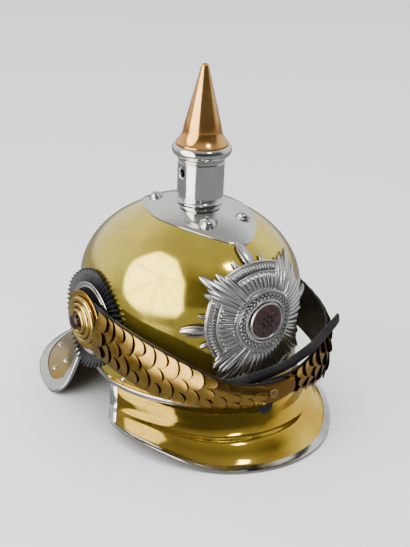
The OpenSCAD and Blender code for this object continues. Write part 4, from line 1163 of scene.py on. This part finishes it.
def make_cockade(side, name):
    """Pleats that run out from the middle, each ending in a tooth at the rim."""
    per = 6
    count = PLEATS * per
    rim = COCKADE_D / 2

    def ridge(j):
        return 1 - abs((j % per) / per * 2 - 1)

    depths = []

    def grid(low, relief):
        rows = []
        for q in [1, 0.985, 0.95, 0.88, 0.8, 0.72, 0.66, 0.62, 0.59, 0.4, 0.1]:
            row = []
            for j in range(count):
                fold_here = smooth((q - 0.58) / 0.08)
                r = rim * q - (4.0 * (1 - ridge(j)) ** 1.2 * smooth((q - 0.88) / 0.12))
                g = -side * (j + 0.9 * (1 - q) * per) * 360 / count
                lift = COCKADE_T * (0.25 + 0.75 * ridge(j)) if relief else 0
                flat = 0.4 * COCKADE_T if relief else 0
                row.append(on_side(side, r, g, low + mix(flat, lift, fold_here)))
                # Relief for painted shade: dark in the pleats' grooves and over the flat middle.
                depths.append(ridge(j) ** 1.5 * fold_here)
            rows.append(row)
        return rows

    add(name + "_pleats", [sheet(grid(0.3, True), grid(0, False), True)], cockade_leather,
        "cockade_leather", name, sharp=28, relief=depths)


def make_cockade_ring(side, name):
    outer_r = COCKADE_D * 0.37
    low = COCKADE_T + 0.45
    steps = [(0, 0), (0, 0.7), (0.4, RING_T), (1.2, RING_T), (1.5, 0.75), (3.3, 0.75), (3.6, RING_T),
             (4.3, RING_T), (4.6, 0.7), (4.6, 0)]
    sections = [[on_side(side, outer_r - inward, -side * 3 * j, low + up) for inward, up in steps]
                for j in range(120)]
    add(name + "_band", [swept(sections, True)], trim_silver, "cockade_ring_silver", name, sharp=45)


def at_pivot(side, base):
    return lambda x, y, h: Vector((side * (base + h), PIVOT.y + x, PIVOT.z + y))


ROOT_T, ROOT_D, BOSS_D, BOSS_H, SCREW_R = 1, 52, 42, 7.5, 6.5
BOSS_X = PIVOT.x + SEAT_GAP + ROOT_T + RUN_GAP


def make_boss(side, name):
    """A pressed boss of three rolls with grooves between them, painted dark as shade."""
    r = BOSS_D / 2
    rolls = ((r, 0.8, 4.3, 2.0), (r - 5.2, 2.2, 3.7, 2.2), (r - 9.8, 4.1, 3.0, 2.1))
    # Each point's third number is its relief: low in the grooves and by the screw, where the finish
    # paints shade.
    outline = [(0, 0, 1), (r - 0.3, 0, 1), (r, 0.3, 1), (r, 0.8, 1)]
    for outer, low, wide, high in rolls:
        outline += [(outer - wide / 2 + wide / 2 * cd(g), low + high * sd(g) ** 0.8 + 0.35 * g / 180, 1)
                    for g in spread(12, 160, 10)]
        outline += [(outer - wide - 0.2, low + 0.7, 0), (outer - wide - 0.6, low + 0.9, 0)]
    outline += [(SCREW_R + 0.6, 5.4, 0.3), (0, 5.6, 1)]
    relief = [c for a, b, c in outline for _ in range(96 if a > 1e-6 else 1)]
    profile = [(a, min(b, BOSS_H)) for a, b, c in outline]
    add(name + "_rolls", [lathe(profile, at_pivot(side, BOSS_X), 96)], boss_brass, "boss_brass", name,
        sharp=35, relief=relief)


def make_screw(side, name):
    outline = ([(0, 0), (SCREW_R - 0.2, 0), (SCREW_R, 0.2), (SCREW_R, 0.6)]
               + [(SCREW_R * cd(g) ** 1.25, 0.6 + 2.4 * sd(g)) for g in spread(8, 84, 10)] + [(0, 3.0)])
    add(name + "_head", [lathe(outline, at_pivot(side, BOSS_X + BOSS_H + 0.05), 64)], dark_screw,
        "dark_screw", name, sharp=40)


def make_root_plate(side, name, body):
    r, hole = ROOT_D / 2, PIVOT_D / 2 + RUN_GAP
    outline = [(hole, 0), (r - 0.2, 0), (r, 0.2), (r, 0.7), (r - 0.35, ROOT_T), (r - 1.4, ROOT_T - 0.1),
               (r - 1.8, ROOT_T - 0.25), (hole, ROOT_T - 0.2), (hole, 0)]
    add(name + "_disc", [lathe(outline, at_pivot(side, PIVOT.x + SEAT_GAP), 96)], scale_brass,
        "scale_brass", name, body=body, sharp=35)


for side, word in ((RIGHT, "right"), (LEFT, "left")):
    make_cockade(side, word + "_cockade")
    make_cockade_ring(side, word + "_cockade_ring")
    make_boss(side, word + "_boss")
    make_screw(side, word + "_boss_screw")
    make_root_plate(side, word + "_root_plate", word + "_chinscales")


# Chin scales on their leathers

STRAP_REACH, STRAP_FALL, LEFT_BOW = 141, 32.5, 5
FALL_POWER = {RIGHT: 1.23, LEFT: 1.0}
TAPER = {RIGHT: (0.4, 0.91), LEFT: (0.55, 0.95)}
STRAP_HALF_W, STRAP_END_HALF_W, SCALE_COUNT = 21.5, 9, 14
SCALE_T, LEATHER_T, LOW_CROWN, END_CROWN = 0.8, 2, 0.4, 1.2
LEFT_DROP_IN = LEATHER_T + SCALE_T + SEAT_GAP + LOW_CROWN + RUN_GAP + 0.8
POWER = {RIGHT: 2.1, LEFT: 2.6}
FRONT = {RIGHT: STRAP_REACH, LEFT: STRAP_REACH - LEFT_DROP_IN}


def strap_curve(side, g):
    """A strap's middle line, by the angle g seen from above, from its pivot to the front."""
    c, s, n = cd(g), sd(g), POWER[side]
    rho = ((abs(c) / PIVOT.x) ** n + (abs(s) / FRONT[side]) ** n) ** (-1 / n)
    if side > 0:
        rho += LEFT_BOW * sd(3 * max(0, min(g, 76) - 16)) ** 2
    f = rho * s
    fall = STRAP_FALL * max(0, f / FRONT[side]) ** FALL_POWER[side]
    return Vector((side * rho * c, PIVOT.y - f, PIVOT.z - fall))


def strap_table(side):
    """Pairs of length along a strap and angle."""
    table, s = [(0.0, 0.0)], 0.0
    for i in range(50):
        s += (strap_curve(side, 2 * i + 2) - strap_curve(side, 2 * i)).length
        table.append((s, 2.0 * i + 2))
    return table


TABLES = {side: strap_table(side) for side in (RIGHT, LEFT)}


def look_up(table, x, back=False):
    """The angle at a length, or back: the length at an angle."""
    for (s0, g0), (s1, g1) in zip(table, table[1:]):
        if back:
            s0, g0, s1, g1 = g0, s0, g1, s1
        if x <= s1:
            return mix(g0, g1, max(0.0, (x - s0) / (s1 - s0)))
    return table[-1][0 if back else 1]


LENGTH = {side: look_up(TABLES[side], 90, True) for side in (RIGHT, LEFT)}


def strap_at(side, s, v, n):
    """A point at length s along a strap, v across it (up) and n out of it."""
    g = look_up(TABLES[side], max(s, 0))
    t = (strap_curve(side, g + 1) - strap_curve(side, max(g - 1, 0))).normalized()
    up = (UPWARD - t * t.z).normalized()
    out = t.cross(up) * -side
    return strap_curve(side, g) + t * min(s, 0) + up * v + out * n


def strap_half(side, s):
    """Half the width of the scales at a length along a strap."""
    first, last = TAPER[side]
    return mix(STRAP_HALF_W, STRAP_END_HALF_W, smooth((s / LENGTH[side] - first) / (last - first)))


SCALE_START = ROOT_D / 2 + 1
FIRST_SCALE_AT = BOSS_D / 2 + 1
SCALE_END = {RIGHT: 18, LEFT: 30}


def make_scales(side, name, body):
    """Scales along a strap, two-lobed and three-lobed in turn."""
    pitch = (LENGTH[side] - SCALE_START - SCALE_END[side]) / SCALE_COUNT
    rows = ([], [])
    for i in range(-1, SCALE_COUNT):
        s = SCALE_START + i * pitch if i >= 0 else FIRST_SCALE_AT
        middle = strap_at(side, s, 0, 0 if i >= 0 else ROOT_T)
        lobes_at = s + pitch * 0.6
        out = (strap_at(side, lobes_at, 0, 1) - strap_at(side, lobes_at, 0, 0)).normalized()
        up = (strap_at(side, s, 1, 0) - middle).normalized()
        half = strap_half(side, s + pitch / 2)
        length = pitch if i >= 0 else 0.8 * pitch
        rows[i % 2].append((middle, out, up * side, Vector((half * MM, length * MM, 1))))
    two_lobed.add(name + "_two_lobed", rows[0], edged_brass, "scale_brass", name, body=body)
    three_lobed.add(name + "_three_lobed", rows[1], edged_brass, "scale_brass", body=body)


def strap_sheet(side, stops, half_at, low, high, columns=10, edge_drop=0.5, crown_h=0.0):
    """A strip along a strap between two heights, with its long edges eased."""
    def grid(n):
        rows = []
        for v in spread(-1, 1, columns):
            drop = edge_drop * smooth((abs(v) - 0.82) / 0.18)
            off = n + crown_h * (1 - v * v) + (-drop if n == high else drop)
            rows.append([strap_at(side, s, v * half_at(s), off) for s in stops])
        return rows
    return between(grid, high, low)


STITCHES_FROM, STITCH_STEP, STITCH_IN = 30, 4, 2.6


def make_leather(side, name, over, body):
    """The leather under the scales, which ends a little past the middle of the front."""
    stop = LENGTH[side] + over
    root = STRAP_HALF_W + 1.5
    stops = [-root * cd(g) for g in spread(4, 86, 10)] + spread(0, stop, 90)

    def half_at(s):
        if s < 0:
            return max(1.0, sqrt(max(0, root * root - s * s)) * (STRAP_HALF_W + 1) / root)
        tip = smooth((s - stop + 6) / 6)
        return (strap_half(side, s) + 1) * (1 - 0.25 * tip * tip)

    add(name + "_strip", [strap_sheet(side, stops, half_at, -LEATHER_T, 0)], strap_leather,
        "strap_leather", name, body=body, sharp=50)
    stitches = []
    for sign in (-1, 1):
        for i in range(int((stop - STITCHES_FROM - 10) / STITCH_STEP)):
            s = STITCHES_FROM + STITCH_STEP * i
            v = sign * (half_at(s) - STITCH_IN)
            p = strap_at(side, s, v, -LEATHER_T)
            out = (strap_at(side, s, v, -LEATHER_T - 1) - p).normalized()
            across = (strap_at(side, s, v + 1, -LEATHER_T) - p).normalized()
            stitches.append((p, out, across, Vector((0.35, 1.3, 0.35)) * MM))
    pips.add(name + "_stitches", stitches, strap_leather, "strap_leather", body=body, Point=0.3)


def make_end_plate(side, name, before, past, crown_h, body):
    """The plain plate at a strap's end, from before to past the middle of the front."""
    first, last = LENGTH[side] - before, LENGTH[side] + past

    def half_at(s):
        return strap_half(side, s) * (1 - 0.3 * ((s - first) / (last - first)) ** 4)

    plate = strap_sheet(side, spread(first, last, 24), half_at, SEAT_GAP, SEAT_GAP + SCALE_T,
                        columns=12, edge_drop=0.15, crown_h=crown_h)
    add(name + "_tongue", [plate], scale_brass, "scale_brass", name, body=body, sharp=45)


make_leather(RIGHT, "right_strap_leather", over=12, body="right_chinscales")
make_leather(LEFT, "left_strap_leather", over=10, body="left_chinscales")
make_scales(RIGHT, "right_scales", "right_chinscales")
make_scales(LEFT, "left_scales", "left_chinscales")
make_end_plate(RIGHT, "right_end_plate", before=17, past=21, crown_h=END_CROWN, body="right_chinscales")
make_end_plate(LEFT, "left_end_plate", before=28, past=8, crown_h=LOW_CROWN, body="left_chinscales")

STUD_BACK, STUD_NECK_D, TAB_T = 4, 4, 1.5
STUD_S = LENGTH[RIGHT] - STUD_BACK
STUD_P = strap_at(RIGHT, STUD_S, 0, 0)
STUD_OUT = (strap_at(RIGHT, STUD_S, 0, 1) - STUD_P).normalized()
STUD_UP = (strap_at(RIGHT, STUD_S, 1, 0) - STUD_P).normalized()
STUD_ALONG = STUD_UP.cross(STUD_OUT)
LEFT_BACK = LEATHER_T + LEFT_DROP_IN


def at_stud(x, y, h):
    return STUD_P + STUD_ALONG * x + STUD_UP * y + STUD_OUT * h


def make_stud():
    head = SEAT_GAP + END_CROWN + SCALE_T + RUN_GAP
    flange = LEFT_BACK + 0.3 + TAB_T + 0.3
    neck = STUD_NECK_D / 2
    outline = ([(0, -flange - 1), (4.3, -flange - 1), (4.5, -flange - 0.8), (4.5, -flange - 0.1),
                (neck, -flange), (neck, head + 0.1), (4.1, head), (4.25, head + 0.2),
                (4.25, head + 0.4)]
               + [(4.2 * cd(g), head + 0.4 + 1.7 * sd(g)) for g in spread(8, 84, 9)]
               + [(0, head + 2.1)])
    add("closing_stud_turned", [lathe(outline, at_stud, 48)], fixing_brass, "fixing_brass",
        "closing_stud", body="left_chinscales", sharp=35)


make_stud()


def make_tab():
    """A pointed leather tab behind the joined ends, hanging below them."""
    low = -LEFT_BACK - 0.3 - TAB_T
    outline, wide = [], 17
    stations = [(-4, wide / 2 * 0.86), (-3.4, wide / 2)]
    stations += [(x, wide / 2 - 0.03 * (x + 4) ** 1.2) for x in spread(-2, 18, 8)]
    stations += [(20.2, wide / 2 * 0.7), (22, wide / 2 * 0.5), (23.3, wide / 2 * 0.2)]
    for x, half in stations:
        outline.append([(x, v * half) for v in spread(-1, 1, 8)])
    axis_x, axis_y = tab_axes()

    def place(x, y, h):
        return STUD_P + axis_x * x + axis_y * y + STUD_OUT * h

    top = [[place(x, y, low + TAB_T - 0.3 * smooth((abs(y) - 6) / 2)) for x, y in row]
           for row in outline]
    bottom = [[place(x, y, low) for x, y in row] for row in outline]
    add("leather_tab_flap", [sheet(top, bottom)], strap_leather, "strap_leather", "leather_tab",
        body="left_chinscales", sharp=50)


def tab_axes():
    """The tab's own directions, as OpenSCAD turns Z to the stud's direction."""
    n = STUD_OUT
    turn = Matrix.Rotation(atan2(n.y, n.x), 3, "Z") @ Matrix.Rotation(acos(n.z), 3, "Y")
    return turn @ LEFTWARD, turn @ -FORWARD


make_tab()

FREE_HALF, FREE_T = 6, 2
# The free end's course: which strap it follows, how far back from the front, how high across
# that strap and how far out of it
FREE_KNOTS = [(RIGHT, 46, 6.4, -3.4), (RIGHT, 30, 11.8, -3.4), (RIGHT, 15, 12.6, -7.6),
              (RIGHT, 0, 13, -9.6), (LEFT, 18, 15.8, -4.2), (LEFT, 34, 18.5, -3.6),
              (LEFT, 50, 24.1, 0.5), (LEFT, 64, 31.6, 5), (LEFT, 76, 36.2, 8.5),
              (LEFT, 82, 37.6, 10)]


def make_free_end():
    knots = [strap_at(side, LENGTH[side] - back, v, n) for side, back, v, n in FREE_KNOTS]
    track = [Vector(curve_value(knots, s)) for s in spread(0, len(knots) - 1, 90)]
    last = len(track) - 1
    sections = []
    for i, p in enumerate(track):
        t = (track[min(i + 1, last)] - track[max(i - 1, 0)]).normalized()
        taper = 1 - 0.3 * smooth((i - last + 3) / 3)
        up = (UPWARD - t * t.z).normalized()
        out = t.cross(up)
        h, w = FREE_T / 2, (FREE_HALF - 0.8) * taper
        outline = [(-w, 0.45), (-w + 0.5, h), (0, h), (w - 0.5, h), (w, 0.45), (w, -0.45),
                   (w - 0.5, -h), (0, -h), (-w + 0.5, -h), (-w, -0.45)]
        sections.append([p + up * a + out * b for a, b in outline])
    add("strap_free_end_strip", [swept(sections)], strap_leather, "strap_leather", "strap_free_end",
        body="right_chinscales", sharp=50)


make_free_end()


# Linings

LINING_T, BAND_ROOM, SWEATBAND_H, TONGUES, TONGUE_T, TONGUE_GAP, CORD_D = 1.5, 6, 40, 10, 1.2, 0.75, 3
BAND_IN = -SHEET - BAND_ROOM


def make_sweatband():
    azimuths = [2.5 * j - 180 for j in range(144)]
    low = EDGE_Z + EAR_RISE + 5

    def grid(o):
        rows = []
        for z in [0, 0.4] + spread(2, 8, 3) + spread(12, SWEATBAND_H - 0.5, 6) + [SWEATBAND_H]:
            roll = (BAND_ROOM - 1.2) * (1 - smooth(z / 8))
            rows.append([wall(o + roll + 0.18 * sd(az * 9) * smooth(z / 10), az, low + z)
                         for az in azimuths])
        return rows

    add("sweatband_hoop", [between(grid, BAND_IN, BAND_IN - LINING_T, ring=True)], lining_leather,
        "lining_leather", "sweatband", sharp=50)
    stitches = []
    for i in range(150):
        az = 2.4 * i - 180
        for z in (low + 11, low + SWEATBAND_H - 4):
            stitches.append((wall(BAND_IN - LINING_T - 0.1, az, z), -wall_normal(az), UPWARD,
                             Vector((0.4, 1.35, 0.4)) * MM))
    pips.add("sweatband_stitches", stitches, stitch_thread, "lining_leather", Point=0.2)


make_sweatband()


def make_tongues():
    """Ten leather tongues that narrow towards the crown."""
    foot = EDGE_Z + EAR_RISE + SWEATBAND_H - 3
    half = 180 / TONGUES
    solids = []
    for j in range(TONGUES):
        mid = (j + 0.5) * 2 * half

        def place(o, az, q):
            if q < 0.2:
                return wall(o, az, mix(foot, EQUATOR_Z, q / 0.2))
            return dome(o, az, 62 * (q - 0.2) / 0.8)

        def share(q):
            return 0.94 * (1 - 0.47 * smooth((q - 0.8) / 0.2))

        def grid(o):
            return [[place(o + 0.9 * (1 - v * v) * smooth(q / 0.2) * 0.3, mid + v * half * share(q), q)
                     for v in spread(-1, 1, 10)] for q in spread(0, 1, 22)]

        low = BAND_IN + TONGUE_GAP
        solids.append(between(grid, low + TONGUE_T, low))
    add("crown_lining_tongues", solids, lining_leather, "lining_leather", "crown_lining", sharp=50)


make_tongues()


def make_lining_cord():
    o, r = BAND_IN - 0.1 - CORD_D / 2, CORD_D / 2
    sections = []
    for i in range(117):
        az = mix(-174, 174, i / 116)
        twist = 9 * az
        sections.append([dome(o + r * 0.97 * cd(g) * (1 - 0.08 * sd(3 * g + twist)), az,
                              57 - r * 0.97 * sd(g) / 1.45) for g in range(0, 360, 30)])
    add("lining_cord_loop", [swept(sections)], cord_thread, "lining_cord", "lining_cord", sharp=60)


make_lining_cord()


def make_rim_linings():
    """Thin leather under the visor and the neck guard."""
    near = -SHEET / 2 - 2 * SEAT_GAP
    thick = LINING_T * 0.6
    shares = spread(-0.98, 0.98, 84)

    def visor_grid(o):
        return [[visor_at(a, s, o) for a in shares] for s in spread(VISOR_ROWS - 1, 1, 40)]

    add("visor_lining_leather", [between(visor_grid, near, near - thick)], lining_leather,
        "lining_leather", "visor_lining", sharp=60)
    neck_shares = spread(-0.95, 0.95, 76)

    def neck_grid(o):
        return above_ground([[neck_at(a * neck_limit(t), t, o) for a in neck_shares]
                             for t in spread(0.9, 0.14, 24)])

    add("neck_lining_leather", [between(neck_grid, near, near - thick)], lining_leather,
        "lining_leather", "neck_guard_lining", sharp=60)


make_rim_linings()


# CAD nodes that stay

def dress_nodes(finish, *names):
    for name in names:
        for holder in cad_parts[name].material_slots:
            holder.material = finish


dress_nodes(fixing_brass, "dome_stud_nuts", "star_nuts")
dress_nodes(steel_post, "star_posts", "right_pivot_post", "left_pivot_post")


# Floor, light and camera

def make_floor():
    f = Finish("pale_floor", Metallic=0.0)
    tone = f.blend(f.noise(2.5, 3), rgb(0.72, 0.72, 0.735), rgb(0.77, 0.77, 0.78))
    material = f.dress(Base_Color=tone, Roughness=f.ramp(f.noise(60, 3), 0.3, 0.7, 0.75, 0.9))
    mesh = bpy.data.meshes.new("floor")
    reach = 9.0
    corners = [(-reach, -reach, 0), (reach, -reach, 0), (reach, reach, 0), (-reach, reach, 0)]
    mesh.from_pydata(corners, [], [(0, 1, 2, 3)])
    mesh.materials.append(material)
    floor_sheet = placed("floor", mesh)
    floor_sheet.visible_glossy = False


make_floor()


def glowing(name, colour, strength):
    """An emitting finish for a softbox that follows the shade stored on its mesh."""
    material = bpy.data.materials.new(name)
    material.use_nodes = True
    g = Graph(material.node_tree)
    g.tree.nodes.clear()
    shade = g.node("ShaderNodeAttribute", {"attribute_name": "seam"}).outputs["Fac"]
    glow = g.node("ShaderNodeEmission", Color=rgb(*colour),
                  Strength=g.math("MULTIPLY", shade, strength))
    g.node("ShaderNodeOutputMaterial", _0=glow.outputs[0])
    return material


# The softbox fades out under the floor's level, to a small share of its light at its lowest.
# Its cloth has a panel every 45 degrees, with darker seams.
FADE_BELOW, FADE_OVER, FADED = 0.35, 0.33, 0.05
CLOTH_PANEL, SEAM_W, SEAM_SHADE = 45, 1.5, 0.45


def make_octabox(centre, half_w, half_h, lean, strength):
    """A tall eight-sided softbox that faces the helmet, darker along the seams of its cloth."""
    centre = Vector(centre)
    aim = (Vector((0, 0, 0.12)) - centre).normalized()
    side = aim.cross(UPWARD).normalized()
    up = side.cross(aim)
    hub = side * 0.05 + up * 0.24
    points, shade, faces = [], [], []
    rings, turns = 14, 128
    for i in range(rings + 1):
        q = i / rings
        for j in range(turns):
            g = 360 * j / turns
            half = CLOTH_PANEL / 2
            flat = q * cd(half) / cd((g + half) % CLOTH_PANEL - half)
            across = cd(g) * half_w - sd(g) * half_h * lean
            points.append(centre + hub * (1 - q) + side * across * flat + up * sd(g) * half_h * flat)
            seam = exp(-(((g % CLOTH_PANEL - half) * max(q, 0.05)) / SEAM_W) ** 2)
            near_floor = mix(FADED, 1.0, smooth((points[-1].z + FADE_BELOW) / FADE_OVER))
            shade.append((1.0 - SEAM_SHADE * seam) * (1 - 0.2 * q * q) * near_floor)
    for i in range(rings):
        for j in range(turns):
            k = (j + 1) % turns
            faces.append((i * turns + j, i * turns + k, (i + 1) * turns + k, (i + 1) * turns + j))
    mesh = bpy.data.meshes.new("octabox")
    mesh.from_pydata(points, [], faces)
    mesh.materials.append(glowing("octabox_cloth", (1.0, 0.985, 0.95), strength))
    layer = mesh.attributes.new("seam", "FLOAT", "POINT")
    layer.data.foreach_set("value", shade)
    box = placed("octabox", mesh)
    box.visible_camera = False


make_octabox(centre=(-0.745, -0.015, 0.30), half_w=0.46, half_h=0.79, lean=0.25, strength=6.0)


def soft_light(name, place, aim, size, power, glossy=True):
    data = bpy.data.lights.new(name, "AREA")
    data.shape = "RECTANGLE"
    data.size, data.size_y = size
    data.energy = power
    light = placed(name, data)
    light.location = place
    light.rotation_euler = (Vector(aim) - Vector(place)).to_track_quat("-Z", "Y").to_euler()
    light.visible_camera = False
    light.visible_glossy = glossy


soft_light("overhead_fill", place=(0.3, 0.2, 3.4), aim=(0, 0.5, 0), size=(5.0, 5.0), power=300,
           glossy=False)
soft_light("front_glint", place=(0.1, -0.85, 1.5), aim=(0, 0, 0.15), size=(0.22, 0.22), power=4)


BACKWARDS = (0.571, 0.821, 0.0)


def make_world():
    """A studio round the helmet: pale behind it, dimmer overhead and below, dark in front."""
    world = bpy.data.worlds.new("studio")
    bpy.context.scene.world = world
    world.use_nodes = True
    g = Graph(world.node_tree)
    way = g.node("ShaderNodeTexCoord").outputs["Generated"]
    back = g.node("ShaderNodeVectorMath", {"operation": "DOT_PRODUCT"}, _0=way,
                  _1=BACKWARDS).outputs["Value"]
    height = g.node("ShaderNodeSeparateXYZ", _0=way).outputs["Z"]
    depth = g.node("ShaderNodeValToRGB", _0=g.ramp(back, -1.0, 1.0))
    stops = depth.color_ramp.elements
    stops[0].position, stops[0].color = 0.0, rgb(0.05, 0.05, 0.052)
    stops[1].position, stops[1].color = 1.0, rgb(1.0, 1.0, 1.02)
    for place, level in ((0.42, 0.10), (0.56, 0.66), (0.75, 0.95)):
        stop = stops.new(place)
        stop.color = rgb(level, level, level * 1.02)
    overhead = g.blend(g.ramp(height, 0.62, 0.9), depth.outputs[0], rgb(0.42, 0.42, 0.43))
    ground = g.blend(g.ramp(height, 0.0, -0.12), overhead, rgb(0.3, 0.3, 0.31))
    g.fill(g.tree.nodes["Background"], {"Color": ground, "Strength": 1.0})


make_world()

# The camera's angles in degrees, its distance and focal length, and the point it looks at,
# below the top of the dome, to the right and up in the picture
VIEW_AZ, VIEW_EL, VIEW_ROLL = -35.85, 22.98, 2.41
VIEW_DISTANCE, FOCAL_PX, FRAME_PX, FILM_W = 1158, 1296.9, 410, 36
AIM_BELOW, AIM_RIGHT, AIM_UP = 88, 14.40, 14.89


def make_camera():
    """A camera that stands where the photograph was taken from."""
    back = Vector((sd(VIEW_AZ) * cd(VIEW_EL), -cd(VIEW_AZ) * cd(VIEW_EL), sd(VIEW_EL)))
    level = Vector((cd(VIEW_AZ), sd(VIEW_AZ), 0))
    rise = back.cross(level)
    middle = Vector((0, SKULL_Y, EQUATOR_Z + DOME_RISE - AIM_BELOW))
    target = middle + level * AIM_RIGHT + rise * AIM_UP
    right = level * cd(VIEW_ROLL) + rise * sd(VIEW_ROLL)
    up = rise * cd(VIEW_ROLL) - level * sd(VIEW_ROLL)
    data = bpy.data.cameras.new("camera")
    data.sensor_fit = "HORIZONTAL"
    data.sensor_width = FILM_W
    data.lens = FOCAL_PX * FILM_W / FRAME_PX
    data.clip_start, data.clip_end = 0.05, 50
    camera = placed("camera", data)
    camera.matrix_world = Matrix.Translation((target + back * VIEW_DISTANCE) * MM) @ Matrix(
        (right, up, back)).transposed().to_4x4()
    bpy.context.scene.camera = camera


make_camera()
